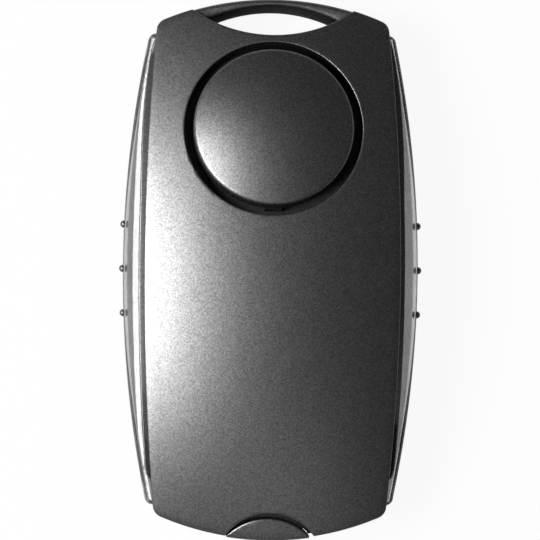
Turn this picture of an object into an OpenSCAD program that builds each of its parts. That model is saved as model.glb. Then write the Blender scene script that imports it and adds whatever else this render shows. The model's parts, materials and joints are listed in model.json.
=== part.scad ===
// Personal safety alarm lying on its flat back, in millimetres.
// The origin is the middle of the back, X runs to the right, Y towards the lanyard bar, Z out of the front.

/* [Case outline] */
// Distance from the origin to the outer edge of the lanyard bar
case_top = 48; // [47.5:0.1:49]
// Distance from the origin to the bottom edge of the case
case_bottom = 47.8; // [47.4:0.1:48.4]
// Half the width of the case at the middle of its bowed sides
case_half_width = 22.5; // [22.3:0.1:23]
// Plan radius of the arched top and bottom ends
end_round = 50; // [47:1:54]
// Plan radius of the bowed sides
side_round = 480; // [420:10:600]
// Plan radius of the four corners
corner_round = 2.2; // [2:0.1:2.6]

/* [Front face] */
// Height of the front face at its crown
crown_height = 21; // [20.9:0.1:21.6]
// Radius of the front face across its width
cross_round = 80; // [76:1:90]
// Radius of the front face along its length
long_round = 128; // [126:1:136]
// Rounding of the front face's edge
face_edge = 0.9; // [0.7:0.1:1.2]

/* [Walls] */
// Thickness of the side walls of both shells
side_wall = 1.7; // [1.5:0.1:1.8]
// Thickness of the front wall
front_wall = 1.7; // [1.5:0.1:1.8]
// Thickness of the back wall
back_wall = 1.8; // [1.7:0.1:2]
// Rounding of the back's edge
back_edge = 1.5; // [1:0.1:1.7]
// Height of the joint between the two shells
parting_height = 5.9; // [5.7:0.1:6.2]

/* [Lanyard eyelet] */
// Distance from the origin to the lowest point of the scooped edge
scoop_low = 41.25; // [41.15:0.05:41.35]
// Radius of the scooped edge
scoop_round = 24.4; // [23.5:0.1:25]
// Distance from the origin to the bar's inner edge at the front
bar_inner = 46.75; // [46.55:0.05:46.85]
// Radius of the bar's inner edge at the front
bar_inner_round = 26.4; // [25.5:0.1:27.5]
// Extra thickness of the bar at the back
bar_draft = 0.45; // [0.3:0.05:0.6]
// Height of the bar's front
bar_height = 9.5; // [9:0.1:10]

/* [Side windows] */
// How far the windows stand out of the sides at their middle
window_proud = 3.85; // [3.5:0.05:4.1]
// Plan radius of the windows' outer face
window_round = 200; // [190:1:220]
// Half the length of a window
window_half_length = 42; // [41.5:0.1:42.2]
// Height of the window's lower edge
window_low = 2.8; // [2.7:0.1:3.1]
// Height of the window's upper edge
window_high = 9; // [8.8:0.1:9.1]
// Rounding of the window's long edges
window_edge = 2.7; // [2.3:0.1:2.8]
// Rounding of the window's ends
window_end_round = 1.5; // [1.2:0.1:1.8]
// Thickness of the flange that holds a window behind the case wall
flange_thick = 1.2; // [1:0.1:1.4]
// How far the flange reaches past the window's edges
flange_lip = 0.8; // [0.6:0.1:1]
// Half the length of the flange
flange_half_length = 35; // [32:0.5:35.5]
// Radius of the grip nubs
nub_round = 0.65; // [0.5:0.05:0.8]
// Distance between neighbouring nubs
nub_pitch = 7.9; // [7:0.1:9]
// Number of nubs on each window
nub_count = 3; // [1:1:5]

/* [Siren button] */
// Distance from the origin to the button's axis at the face
button_centre = 24.8; // [24.4:0.1:24.9]
// Radius of the hole in the front face
hole_round = 15.65; // [15.55:0.05:15.7]
// Radius of the button
button_round = 14.1; // [14:0.05:14.15]
// Radius of the button's dome
dome_round = 45; // [42:1:60]
// Height of the dome's rim above the face
dome_rim = 0.2; // [0:0.1:0.4]
// Thickness of the button's dome
button_wall = 1.6; // [1.4:0.1:1.7]
// Depth of the skirt's lower edge below the face
skirt_depth = 2.6; // [2.4:0.1:2.8]
// How far the button travels
button_travel = 1.5; // [1.2:0.1:1.6]
// Depth of the well's floor below the face
well_depth = 5.5; // [5.4:0.1:5.7]
// Thickness of the well's floor
well_floor = 1.4; // [1.3:0.1:1.5]
// Thickness of the collar round the well
collar_wall = 1.2; // [1:0.1:1.3]

/* [Return spring] */
// Radius of the spring at its wire's centre
spring_round = 3.7; // [3.6:0.1:4.2]
// Radius of the spring's wire
spring_wire = 0.35; // [0.3:0.05:0.4]
// Number of turns
spring_turns = 4; // [3:1:4]

/* [Siren] */
// Radius of the brass plate
siren_round = 9.1; // [8.9:0.1:9.2]
// Thickness of the brass plate
siren_plate_thick = 0.2; // [0.15:0.05:0.3]
// Radius of the ceramic layer
ceramic_round = 6.5; // [6:0.1:6.8]
// Thickness of the foam ring above the plate
gasket_thick = 0.8; // [0.6:0.1:0.9]
// Radius of the sound holes in the well's floor
sound_hole = 1.3; // [1:0.1:1.5]
// Number of sound holes
sound_hole_count = 8; // [6:1:10]

/* [Circuit board] */
// How far the board's upper side lies above the back, on the button's axis
board_rise = 9.4; // [9.2:0.1:9.5]
// Thickness of the board
board_thick = 1.2; // [1:0.1:1.3]
// Distance from the board's edges to the middle of the sides
board_margin = 7; // [6.7:0.1:7.3]

/* [Battery drawer] */
// Radius of a button cell
cell_round = 5.8; // [5.7:0.05:5.85]
// Height of a button cell
cell_height = 5.4; // [5.2:0.1:5.4]
// Distance between neighbouring cells
cell_pitch = 12.8; // [12.7:0.05:12.9]
// Distance from the origin to the middle of the outer cell
outer_cell = 37.3; // [37.2:0.05:37.5]
// Half the width of the tray
tray_half_width = 7; // [6.95:0.01:7.05]
// Sideways place of the drawer, which lies against its left guide
drawer_shift = -0.3; // [-0.3:0.05:0.3]
// How far the drawer slides out
drawer_travel = 38; // [30:1:38]
// Distance from the origin to the top of the half-moon pull
pull_top = 44; // [43.9:0.05:44.2]
// Radius of the pull's arched edge
pull_round = 10.2; // [10:0.1:10.6]
// Half the width of the pull
pull_half_width = 7.3; // [7.2:0.05:7.35]
// Distance from the origin to the top of the notch that takes the pull
notch_top = 43.1; // [43:0.05:43.2]
// Radius of the notch
notch_round = 9.55; // [9.5:0.05:9.7]

/* [Screws] */
// Distance of the case screws from the middle of the sides
case_screw_inset = 7.2; // [7.1:0.1:7.5]
// Distance of the upper case screws from the origin
case_screw_top = 39.3; // [39.1:0.1:39.4]
// Distance of the lower case screws from the origin
case_screw_low = 38.5; // [38:0.1:39]

/* [Hidden] */
$fn = 64;

// Clearances
slide_gap = 0.15;
seat_gap = 0.05;
catch_gap = 0.15;
pass_gap = 0.3;
screw_gap = 0.2;
contact_gap = 0.05;
// How far joined shapes run into each other, how far a cut runs past a face, and a length beyond the case
overlap = 0.1;
past = 1;
reach = 60;

// Outline of the case, as arcs that meet smoothly
end_steps = 6;
corner_steps = 3;
side_steps = 12;
top_centre = [0, case_top - end_round];
low_centre = [0, end_round - case_bottom];
side_centre = [case_half_width - side_round, 0];

// Where two circles meet, on the left of the line from the first centre to the second, or on its right
function meeting(first, first_round, second, second_round, side) =
    let (line = second - first)
    let (apart = norm(line))
    let (along = (apart * apart + first_round * first_round - second_round * second_round) / (2 * apart))
    let (across = sqrt(first_round * first_round - along * along))
    let (unit = line / apart)
    first + unit * along + side * across * [-unit[1], unit[0]];

function heading(from, to) = atan2(to[1] - from[1], to[0] - from[0]);

corner_top = meeting(side_centre, side_round - corner_round, top_centre, end_round - corner_round, 1);
corner_low = meeting(side_centre, side_round - corner_round, low_centre, end_round - corner_round, -1);

// A station is a point of the outline: its arc's centre, its arc's radius and its outward direction
function arc_stations(centre, radius, from, to, steps, first) =
    [for (i = [first:steps]) [centre, radius, from + (to - from) * i / steps]];

function mirrored(station) = [[-station[0][0], station[0][1]], station[1], 180 - station[2]];

right_stations = concat(
    arc_stations(low_centre, end_round, -90, heading(low_centre, corner_low), end_steps, 0),
    arc_stations(corner_low, corner_round, heading(low_centre, corner_low),
        heading(side_centre, corner_low), corner_steps, 1),
    arc_stations(side_centre, side_round, heading(side_centre, corner_low),
        heading(side_centre, corner_top), side_steps, 1),
    arc_stations(corner_top, corner_round, heading(side_centre, corner_top),
        heading(top_centre, corner_top), corner_steps, 1),
    arc_stations(top_centre, end_round, heading(top_centre, corner_top), 90, end_steps, 1));
left_stations = [for (i = [len(right_stations) - 2:-1:1]) mirrored(right_stations[i])];
stations = concat(right_stations, left_stations);

function inset_point(station, inset) =
    station[0] + (station[1] - inset) * [cos(station[2]), sin(station[2])];

// Height of the front face, which is crowned both ways
function face_height(x, y) = crown_height
    - (cross_round - sqrt(cross_round * cross_round - x * x))
    - (long_round - sqrt(long_round * long_round - y * y));

function flat_ring(inset, height) =
    [for (s = stations) let (p = inset_point(s, inset)) [p[0], p[1], height]];

function face_ring(inset, shrink, drop) =
    [for (s = stations) let (p = inset_point(s, inset) * shrink)
        [p[0], p[1], face_height(p[0], p[1]) - drop]];

// Rings over a rounded edge, from the wall to the face
round_steps = 3;
function edge_rings(inset, radius, drop) =
    [for (i = [0:round_steps]) let (turn = 90 * i / round_steps)
        face_ring(inset + radius * (1 - cos(turn)), 1, drop + radius * (1 - sin(turn)))];

// Rings over the face, from its edge towards its middle
shrinks = [0.82, 0.64, 0.46, 0.28, 0.12];
function inner_face_rings(inset, drop) = [for (k = shrinks) face_ring(inset, k, drop)];

function backwards(list) = [for (i = [len(list) - 1:-1:0]) list[i]];

// A closed solid from a row of rings, with a fan of triangles to a point at each end
module ring_stack(rings, first_tip, last_tip) {
    count = len(rings[0]);
    last = len(rings) - 1;
    tip_index = count * len(rings);
    skin = [for (k = [0:last - 1]) for (i = [0:count - 1])
        let (j = (i + 1) % count)
        each [[k * count + i, (k + 1) * count + i, (k + 1) * count + j],
            [k * count + i, (k + 1) * count + j, k * count + j]]];
    first_fan = [for (i = [0:count - 1]) [tip_index, i, (i + 1) % count]];
    last_fan = [for (i = [0:count - 1]) [tip_index + 1, last * count + (i + 1) % count, last * count + i]];
    polyhedron(
        points = concat([for (r = rings) each r], [first_tip, last_tip]),
        faces = concat(skin, first_fan, last_fan));
}

// The case's outer form down to a base, lowered by a drop, drawn in by an inset and rounded by an edge
module case_form(base, drop, inset, edge) {
    ring_stack(
        concat([flat_ring(inset, base)], edge_rings(inset, edge, drop), inner_face_rings(inset + edge, drop)),
        [0, 0, base], [0, 0, face_height(0, 0) - drop]);
}

// Rounding of the front shell's inner edge, as far as the corners leave room for it
widest_inner_edge = 0.4;
inner_edge = min(widest_inner_edge, corner_round - side_wall - seat_gap);

module front_skin() {
    inside = concat([flat_ring(side_wall, parting_height),
        face_ring(side_wall, 1, front_wall + inner_edge),
        face_ring(side_wall + inner_edge, 1, front_wall)],
        inner_face_rings(side_wall + inner_edge, front_wall));
    outside = concat([flat_ring(0, parting_height)], edge_rings(0, face_edge, 0),
        inner_face_rings(face_edge, 0));
    ring_stack(concat(backwards(inside), outside),
        [0, 0, face_height(0, 0) - front_wall], [0, 0, face_height(0, 0)]);
}

back_edge_rings = [for (i = [0:round_steps]) let (turn = 90 * i / round_steps)
    flat_ring(back_edge * (1 - sin(turn)), back_edge * (1 - cos(turn)))];

module back_skin() {
    ring_stack(
        concat(back_edge_rings, [flat_ring(0, parting_height), flat_ring(side_wall, parting_height),
            flat_ring(side_wall, back_wall)]),
        [0, 0, 0], [0, 0, back_wall]);
}

// The lanyard bar's outer form, with a rounded front edge
bar_edge = 0.8;
bar_edge_rings = [for (i = [0:round_steps]) let (turn = 90 * i / round_steps)
    flat_ring(bar_edge * (1 - cos(turn)), bar_height - bar_edge * (1 - sin(turn)))];

module bar_form() {
    ring_stack(concat(back_edge_rings, bar_edge_rings), [0, 0, 0], [0, 0, bar_height]);
}

// Eyelet
scoop_centre = scoop_low + scoop_round;
bar_inner_centre = bar_inner - bar_inner_round;

module upright(x, y, radius, from, to) {
    translate([x, y, from]) cylinder(r = radius, h = to - from);
}

module scoop(extra, from, to) {
    upright(0, scoop_centre, scoop_round + extra, from, to);
}

module eyelet_opening() {
    intersection() {
        scoop(0, -past, reach);
        translate([0, bar_inner_centre, -past])
            cylinder(r1 = bar_inner_round - bar_draft, r2 = bar_inner_round, h = bar_height + 2 * past);
    }
}

// Notch for the half-moon pull, and the tunnel for the tray behind it
notch_centre = -(notch_top + notch_round);
tray_low = back_wall + pass_gap;
tray_floor = 1;
strip_thick = 0.2;
cell_low = tray_low + tray_floor + strip_thick;
cell_high = cell_low + cell_height;
tunnel_high = cell_high + pass_gap;
guide_x = tray_half_width + abs(drawer_shift) + slide_gap;

module notch(extra, from, to) {
    upright(0, notch_centre, notch_round + extra, from, to);
}

module tray_tunnel(from, to) {
    translate([-guide_x, -reach, from]) cube([2 * guide_x, reach - outer_cell, to - from]);
}

// Frame of the button: its own axis is square to the face
button_tilt = asin(button_centre / long_round);

module on_button_axis() {
    translate([0, button_centre, face_height(0, button_centre)])
        rotate([-button_tilt, 0, 0]) children();
}

module level_ring(outer, inner, from, to) {
    difference() {
        upright(0, 0, outer, from, to);
        upright(0, 0, inner, from - past, to + past);
    }
}

module at_both_sides() {
    children();
    mirror([1, 0, 0]) children();
}

// Height above the face, on the button's axis, that is clear of the whole case
above_face = 8;

well_top = -well_depth;
well_low = well_top - well_floor;
ear_thick = 1.2;
ear_low = well_low - ear_thick;
ear_radius = 18.6;
ear_round = 1.9;
ear_inset = 6.4;
side_ear = acos((case_half_width - ear_inset) / ear_radius);
low_ear = 225;
ear_angles = [side_ear, 180 - side_ear, low_ear, 180 - low_ear];
board_depth = crown_height - board_rise;
board_top = -board_depth;
board_low = board_top - board_thick;

// Places of the board's screws: two in the well's standoffs, two in the front shell's bosses
board_half_width = case_half_width - board_margin;
standoff_inset = 2.5;
standoff_x = board_half_width - standoff_inset;
standoff_y = 2;
standoff_places = [[standoff_x, standoff_y], [-standoff_x, standoff_y]];
board_boss_inset = 3.5;
board_boss_x = board_half_width - board_boss_inset;
board_boss_y = -22.5;
board_boss_places = [[board_boss_x, board_boss_y], [-board_boss_x, board_boss_y]];
standoff_round = 1.7;
board_boss_round = 2;

// Screws
inner_shank = 0.85;
inner_shank_length = 4.2;
inner_head = 1.7;
inner_head_height = 1.2;
inner_pilot = inner_shank + seat_gap;
inner_passage = inner_shank + screw_gap;
case_shank = 0.95;
case_shank_length = 7;
case_head = 1.9;
case_head_height = 1.3;
case_pilot = case_shank + seat_gap;
pilot_room = 0.3;
slot_share = 0.6;
slot_breadth = 0.25;
case_boss_round = 2.6;
case_seat = 2;
case_post = 3.6;
case_post_round = 3.2;
case_screw_x = case_half_width - case_screw_inset;
case_screw_places = [
    [case_screw_x, case_screw_top], [-case_screw_x, case_screw_top],
    [case_screw_x, -case_screw_low], [-case_screw_x, -case_screw_low]];

// A screw with a cross slot, its head downwards
module screw(shank, shank_length, head, head_height) {
    slot_half = head * slot_share;
    slot_width = head * slot_breadth;
    upright(0, 0, shank, -overlap, shank_length);
    difference() {
        upright(0, 0, head, -head_height, 0);
        for (turn = [0, 90]) rotate([0, 0, turn])
            translate([-slot_half, -slot_width / 2, -head_height - overlap])
                cube([2 * slot_half, slot_width, head_height / 2 + overlap]);
    }
}

module inner_screw() {
    screw(inner_shank, inner_shank_length, inner_head, inner_head_height);
}

// Gap in the side walls for the windows, beside the bosses of the case screws
boss_room = 0.25;
window_slot_inner = case_screw_x + case_boss_round + boss_room;

module window_slots(from, to) {
    half = window_half_length + seat_gap;
    at_both_sides()
        translate([window_slot_inner, -half, from]) cube([reach, 2 * half, to - from]);
}

// Contact carrier over the tray
tray_wall = 1.3;
tray_end = -(outer_cell - 2 * cell_pitch - cell_round - tray_wall);
guide_thick = 1.5;
leaf_room = 0.6;
guide_high = tunnel_high + leaf_room;
guide_hold = 1.6;
guide_from = tray_end - drawer_travel - guide_hold;
guide_overrun = 0.4;
guide_to = tray_end + guide_overrun;
carrier_thick = 1.2;
carrier_from = -40;
carrier_short = 0.6;
carrier_to = tray_end - carrier_short;
carrier_half_width = guide_x + guide_thick;
carrier_boss_round = 1.9;
carrier_boss_bite = 0.4;
carrier_screw_x = carrier_half_width + carrier_boss_round - carrier_boss_bite;
carrier_screw_y = -22;

// Post that carries the end contact behind the tray
end_leaf_room = 0.5;
end_leaf_y = tray_end + strip_thick + end_leaf_room;
end_post_high = 8;
end_post_thick = 1.5;
end_post_half_width = 4;
end_tab_y = end_leaf_y + strip_thick + end_post_thick;
lead_step = 0.8;
end_lead_y = end_tab_y + lead_step;

// Ribs and bosses inside the front shell, which run part of the way into its skin
core_base = 1.9;
core_inset = 0.7;
core_edge = 0.8;
collar_short = 0.2;
notch_wall = 1.2;
notch_wall_low = tunnel_high + 0.2;

module front_inside() {
    intersection() {
        case_form(core_base, core_inset, core_inset, core_edge);
        union() {
            difference() {
                scoop(side_wall, parting_height, reach);
                scoop(-overlap, 0, reach + past);
            }
            difference() {
                notch(notch_wall, notch_wall_low, reach);
                notch(-overlap, 0, reach + past);
            }
            on_button_axis() {
                level_ring(hole_round + collar_wall, hole_round - overlap, well_low + collar_short,
                    above_face);
                for (angle = ear_angles) rotate([0, 0, angle])
                    upright(ear_radius, 0, ear_round, well_low, above_face);
                for (place = board_boss_places)
                    upright(place[0], place[1], board_boss_round, board_top, above_face);
            }
            for (place = case_screw_places)
                upright(place[0], place[1], case_boss_round, case_post, reach);
        }
    }
}

module front_shell() {
    color("dimgray") difference() {
        union() {
            front_skin();
            front_inside();
        }
        scoop(0, 0, reach);
        notch(0, 0, reach);
        tray_tunnel(0, tunnel_high);
        window_slots(0, window_high + seat_gap);
        on_button_axis() {
            upright(0, 0, hole_round, well_low - overlap, above_face);
            for (angle = ear_angles) rotate([0, 0, angle])
                upright(ear_radius, 0, inner_pilot, well_low - past,
                    ear_low + inner_shank_length + pilot_room);
            for (place = board_boss_places)
                upright(place[0], place[1], inner_pilot, board_top - past, board_top + inner_shank_length);
        }
        for (place = case_screw_places)
            upright(place[0], place[1], case_pilot, 0, case_seat + case_shank_length + pilot_room);
    }
}

module back_shell() {
    color("dimgray") difference() {
        union() {
            back_skin();
            intersection() {
                bar_form();
                union() {
                    scoop(side_wall, 0, parting_height);
                    scoop(-slide_gap, parting_height - overlap, bar_height + past);
                }
            }
            for (place = case_screw_places)
                upright(place[0], place[1], case_post_round, back_wall - overlap, case_post);
            at_both_sides() {
                translate([guide_x, guide_from, back_wall - overlap])
                    cube([guide_thick, guide_to - guide_from, guide_high - back_wall + overlap]);
                upright(carrier_screw_x, carrier_screw_y, carrier_boss_round, back_wall - overlap,
                    guide_high);
            }
            translate([-end_post_half_width, end_leaf_y + strip_thick, back_wall - overlap])
                cube([2 * end_post_half_width, end_post_thick, end_post_high - back_wall + overlap]);
        }
        eyelet_opening();
        notch(0, -past, reach);
        tray_tunnel(back_wall, reach);
        window_slots(window_low - seat_gap, reach);
        for (place = case_screw_places) {
            upright(place[0], place[1], case_head + screw_gap, -past, case_seat);
            upright(place[0], place[1], case_shank + screw_gap, 0, case_post + past);
        }
        at_both_sides()
            upright(carrier_screw_x, carrier_screw_y, inner_pilot, guide_high - inner_shank_length,
                guide_high + past);
    }
}

// Side windows: a bulged clear bar with a flange behind the case wall and grip nubs outside
window_half_width = case_half_width + window_proud;
window_centre = window_half_width - window_round;
window_middle = (window_low + window_high) / 2;
flange_outer = side_round - side_wall - seat_gap;
flange_inner = flange_outer - flange_thick;
window_root = 14;
window_fine = 256;

function window_outer(y) = window_centre + sqrt(window_round * window_round - y * y);

module window_section() {
    translate([window_round - window_root, window_low])
        square([window_root - window_edge, window_high - window_low]);
    translate([window_round - window_edge - overlap, window_low + window_edge])
        square([window_edge + overlap, window_high - window_low - 2 * window_edge]);
    for (height = [window_low + window_edge, window_high - window_edge])
        translate([window_round - window_edge, height]) circle(r = window_edge);
}

module window_plan() {
    end_y = window_half_length - window_end_round;
    end_x = window_outer(end_y) - window_end_round;
    translate([0, -end_y]) square([reach, 2 * end_y]);
    translate([0, -window_half_length]) square([end_x, 2 * window_half_length]);
    for (y = [-end_y, end_y]) translate([end_x, y]) circle(r = window_end_round);
}

// Part of a ring round the middle of the side's arc, up to a given distance from the middle of the case
module side_strip(outer, from, to, half_length) {
    intersection() {
        translate([side_centre[0], 0, 0]) level_ring(outer, flange_inner, from, to, $fn = window_fine);
        translate([window_slot_inner + seat_gap, -half_length, 0]) cube([reach, 2 * half_length, reach]);
    }
}

module window() {
    intersection() {
        difference() {
            translate([window_centre, 0, 0]) rotate_extrude($fn = window_fine) window_section();
            translate([side_centre[0], 0, 0]) upright(0, 0, flange_outer, 0, reach, $fn = window_fine);
        }
        linear_extrude(height = reach) window_plan();
    }
    side_strip(side_round - seat_gap, window_low, window_high, window_half_length);
    side_strip(flange_outer, window_low - flange_lip, window_high + flange_lip, flange_half_length);
    for (i = [0:nub_count - 1]) let (y = (i - (nub_count - 1) / 2) * nub_pitch)
        translate([window_outer(y), y, window_middle]) sphere(r = nub_round);
}

module right_window() {
    color([0.75, 0.78, 0.8, 0.6]) window();
}

module left_window() {
    color([0.75, 0.78, 0.8, 0.6]) mirror([1, 0, 0]) window();
}

// Siren button and its spring
dome_rise = dome_round - sqrt(dome_round * dome_round - button_round * button_round);
dome_centre = dome_rim + dome_rise - dome_round;
skirt_low = -skirt_depth;
skirt_thick = 1.45;
hook_angles = [90, 210, 330];
hook_half_width = 1.6;
hook_thick = 1.2;
hook_inner = button_round - skirt_thick + seat_gap;
hook_root = 1;
barb_reach = 0.8;
barb_thick = 1;
barb_high = well_low - catch_gap;
barb_low = barb_high - barb_thick;
post_half_width = 1.5;
post_thick = 1.6;
post_outer = -button_round + overlap;
post_root = 0.5;
plunger_sink = 0.35;
plunger_top = well_low - plunger_sink;
spigot_gap = 0.4;
spigot_round = spring_round - spring_wire - spigot_gap;
spigot_low = -2;
dome_fine = 128;

module dome(radius, from) {
    intersection() {
        translate([0, 0, dome_centre]) sphere(r = radius, $fn = dome_fine);
        upright(0, 0, button_round, from, above_face);
    }
}

module hook() {
    translate([hook_inner, -hook_half_width, barb_low])
        cube([hook_thick, 2 * hook_half_width, skirt_low - barb_low + hook_root]);
    translate([hook_inner - barb_reach, -hook_half_width, barb_low])
        cube([barb_reach + overlap, 2 * hook_half_width, barb_high - barb_low]);
}

module siren_button() {
    color("dimgray") on_button_axis() {
        difference() {
            dome(dome_round, skirt_low);
            intersection() {
                upright(0, 0, button_round - skirt_thick, skirt_low - past, above_face);
                translate([0, 0, dome_centre]) sphere(r = dome_round - button_wall, $fn = dome_fine);
            }
        }
        upright(0, 0, spigot_round, spigot_low, dome_centre + dome_round - button_wall + overlap);
        for (angle = hook_angles) rotate([0, 0, angle]) hook();
        translate([-post_half_width, post_outer, plunger_top + contact_gap])
            cube([2 * post_half_width, post_thick, skirt_low - plunger_top + post_root]);
    }
}

// The spring is one tube along a helix that stands on the well's floor
spring_sides = 6;
spring_rings_per_turn = 8;
spring_room = 0.1;
spring_from = well_top + spring_wire + contact_gap;
spring_to = dome_centre
    + sqrt(pow(dome_round - button_wall, 2) - pow(spring_round + spring_wire, 2)) - spring_wire - spring_room;
spring_pitch = (spring_to - spring_from) / spring_turns;
echo(least_gap_between_spring_turns = spring_pitch - 2 * spring_wire);

function spring_ring(i) =
    let (turn = 360 * i / spring_rings_per_turn)
    let (height = spring_from + spring_pitch * i / spring_rings_per_turn)
    [for (k = [0:spring_sides - 1]) let (a = -360 * k / spring_sides)
        let (radius = spring_round + spring_wire * cos(a))
        [radius * cos(turn), radius * sin(turn), height + spring_wire * sin(a)]];

function mean(list) = list * [for (v = list) 1] / len(list);

function ring_middle(ring) = [for (axis = [0:2]) mean([for (p = ring) p[axis]])];

module button_spring() {
    rings = [for (i = [0:spring_turns * spring_rings_per_turn]) spring_ring(i)];
    color("silver") on_button_axis()
        ring_stack(rings, ring_middle(rings[0]), ring_middle(rings[len(rings) - 1]));
}

// Well under the button, with sound holes in its floor and the siren's seat below
plate_room = 0.1;
seat_thick = 1.2;
seat_inner = siren_round + plate_room;
seat_outer = seat_inner + seat_thick;
plate_margin = 1.1;
gasket_inner = ceramic_round + plate_margin;
gasket_low = well_low - gasket_thick;
plate_low = gasket_low - siren_plate_thick;
ceramic_thick = 0.2;
ceramic_low = plate_low - ceramic_thick;
retainer_thick = 1.4;
seat_low = plate_low - retainer_thick;
sound_circle = 5.4;
floor_spigot = 1.2;
ear_arm = 1.5;
ear_root = 1.3;
ear_root_gap = 0.2;
ear_root_rise = 0.4;
hook_gap = 0.3;
post_gap = 0.4;

module button_well() {
    color("black") on_button_axis() difference() {
        union() {
            upright(0, 0, hole_round - seat_gap, well_low, well_top);
            upright(0, 0, spigot_round, well_top - overlap, well_top + floor_spigot);
            level_ring(seat_outer, seat_inner, seat_low, well_low + overlap);
            for (place = standoff_places)
                upright(place[0], place[1], standoff_round, board_top, well_low + overlap);
            for (angle = ear_angles) rotate([0, 0, angle]) {
                translate([hole_round - ear_root, -ear_round, ear_low])
                    cube([ear_root - ear_root_gap, 2 * ear_round, ear_thick + ear_root_rise]);
                translate([hole_round - ear_root_gap - overlap, -ear_arm, ear_low + overlap])
                    cube([ear_radius - hole_round + ear_root_gap, 2 * ear_arm, ear_thick - 2 * overlap]);
                upright(ear_radius, 0, ear_round, ear_low, well_low);
            }
        }
        for (angle = hook_angles) rotate([0, 0, angle])
            translate([hook_inner - hook_gap, -hook_half_width - hook_gap, well_low - past])
                cube([hook_thick + 2 * hook_gap, 2 * (hook_half_width + hook_gap), well_floor + 2 * past]);
        translate([-post_half_width - post_gap, post_outer - post_gap, well_low - past])
            cube([2 * (post_half_width + post_gap), post_thick + 2 * post_gap, well_floor + 2 * past]);
        for (i = [0:sound_hole_count - 1]) rotate([0, 0, 360 * i / sound_hole_count])
            upright(sound_circle, 0, sound_hole, well_low - past, well_top + past);
        for (angle = ear_angles) rotate([0, 0, angle])
            upright(ear_radius, 0, inner_passage, ear_low - past, well_low + past);
        for (place = standoff_places)
            upright(place[0], place[1], inner_pilot, board_top - past, board_top + inner_shank_length);
    }
}

module sound_gasket() {
    color("darkslategray") on_button_axis() level_ring(siren_round, gasket_inner, gasket_low, well_low);
}

module siren_plate() {
    color("goldenrod") on_button_axis() upright(0, 0, siren_round, plate_low, gasket_low);
}

module siren_ceramic() {
    color("ivory") on_button_axis() upright(0, 0, ceramic_round, ceramic_low, plate_low);
}

module siren_retainer() {
    color("black") on_button_axis() level_ring(siren_round, gasket_inner, seat_low, plate_low);
}

contact_pin = 0.4;
ceramic_pin_x = 3;
plate_pin_x = -(ceramic_round + gasket_inner) / 2;

module siren_contacts() {
    color("gold") on_button_axis() {
        upright(ceramic_pin_x, 0, contact_pin, board_top, ceramic_low);
        upright(plate_pin_x, 0, contact_pin, board_top, plate_low);
    }
}

// Circuit board, parallel to the well, with its pieces
board_from = -25;
board_to = 6;

module circuit_board() {
    color("darkgreen") on_button_axis() difference() {
        translate([-board_half_width, board_from, board_low])
            cube([2 * board_half_width, board_to - board_from, board_thick]);
        for (place = concat(standoff_places, board_boss_places))
            upright(place[0], place[1], inner_passage, board_low - past, board_top + past);
    }
}

switch_y = -13.6;
switch_half_width = 2.9;
plunger_round = 1.2;
plunger_hold = 1;
switch_height = plunger_hold + button_travel + 2 * contact_gap;
switch_top = board_top + switch_height;
plunger_low = switch_top - plunger_hold;

module switch_body() {
    color("black") on_button_axis() difference() {
        translate([-switch_half_width, switch_y - switch_half_width, board_top])
            cube([2 * switch_half_width, 2 * switch_half_width, switch_height]);
        upright(0, switch_y, plunger_round + seat_gap, board_top + contact_gap, switch_top + past);
    }
}

module switch_plunger() {
    color("white") on_button_axis() upright(0, switch_y, plunger_round, plunger_low, plunger_top);
}

chip_x = 5.2;
chip_gap = 0.5;
chip_y = board_boss_y + board_boss_round + chip_gap;
chip_size = [4, 5, 1.4];
chip_lift = 0.2;
leg_rows = 4;
leg_pitch = 1.2;
leg_width = 0.4;
leg_thick = 0.3;
leg_reach = 0.6;
leg_from = 0.4;

module driver_chip() {
    color("black") on_button_axis() translate([chip_x, chip_y, board_top]) {
        translate([0, 0, chip_lift]) cube(chip_size);
        for (i = [0:leg_rows - 1]) translate([-leg_reach, leg_from + leg_pitch * i, 0])
            cube([chip_size[0] + 2 * leg_reach, leg_width, leg_thick]);
    }
}

coil_x = -5.2;
coil_y = -21.2;
coil_round = 3.2;
coil_waist = 1.8;
coil_height = 5;
coil_rim = 0.8;
winding_inset = 0.3;

module coil_core() {
    color("dimgray") on_button_axis() {
        upright(coil_x, coil_y, coil_round, board_top, board_top + coil_rim);
        upright(coil_x, coil_y, coil_waist, board_top, board_top + coil_height);
        upright(coil_x, coil_y, coil_round, board_top + coil_height - coil_rim, board_top + coil_height);
    }
}

module coil_winding() {
    color("chocolate") on_button_axis() translate([coil_x, coil_y, 0])
        level_ring(coil_round - winding_inset, coil_waist, board_top + coil_rim,
            board_top + coil_height - coil_rim);
}

capacitor_x = 1.4;
capacitor_y = -21.2;
capacitor_round = 2.4;
capacitor_end_round = 2;
capacitor_room = 5.6;
capacitor_top = -capacitor_room;
capacitor_end_rise = 0.2;

module capacitor() {
    color("navy") on_button_axis() {
        upright(capacitor_x, capacitor_y, capacitor_round, board_top, capacitor_top);
        upright(capacitor_x, capacitor_y, capacitor_end_round, capacitor_top - overlap,
            capacitor_top + capacitor_end_rise);
    }
}

// Lamps under the board's edges, facing the windows
lamp_y = -15;
lamp_half_width = 1.6;
lamp_depth = 2.2;
lamp_hold = 2.5;
lamp_overhang = 1.1;
lamp_inner = board_half_width - lamp_hold;
lamp_outer = board_half_width + lamp_overhang;
lens_round = 0.9;
lens_length = 1;

module lamp() {
    translate([lamp_inner, lamp_y - lamp_half_width, board_low - lamp_depth])
        cube([lamp_outer - lamp_inner, 2 * lamp_half_width, lamp_depth]);
    translate([lamp_outer - overlap, lamp_y, board_low - lamp_depth / 2])
        rotate([0, 90, 0]) cylinder(r = lens_round, h = lens_length + overlap);
}

module right_lamp() {
    color("white") on_button_axis() lamp();
}

module left_lamp() {
    color("white") on_button_axis() mirror([1, 0, 0]) lamp();
}

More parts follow.
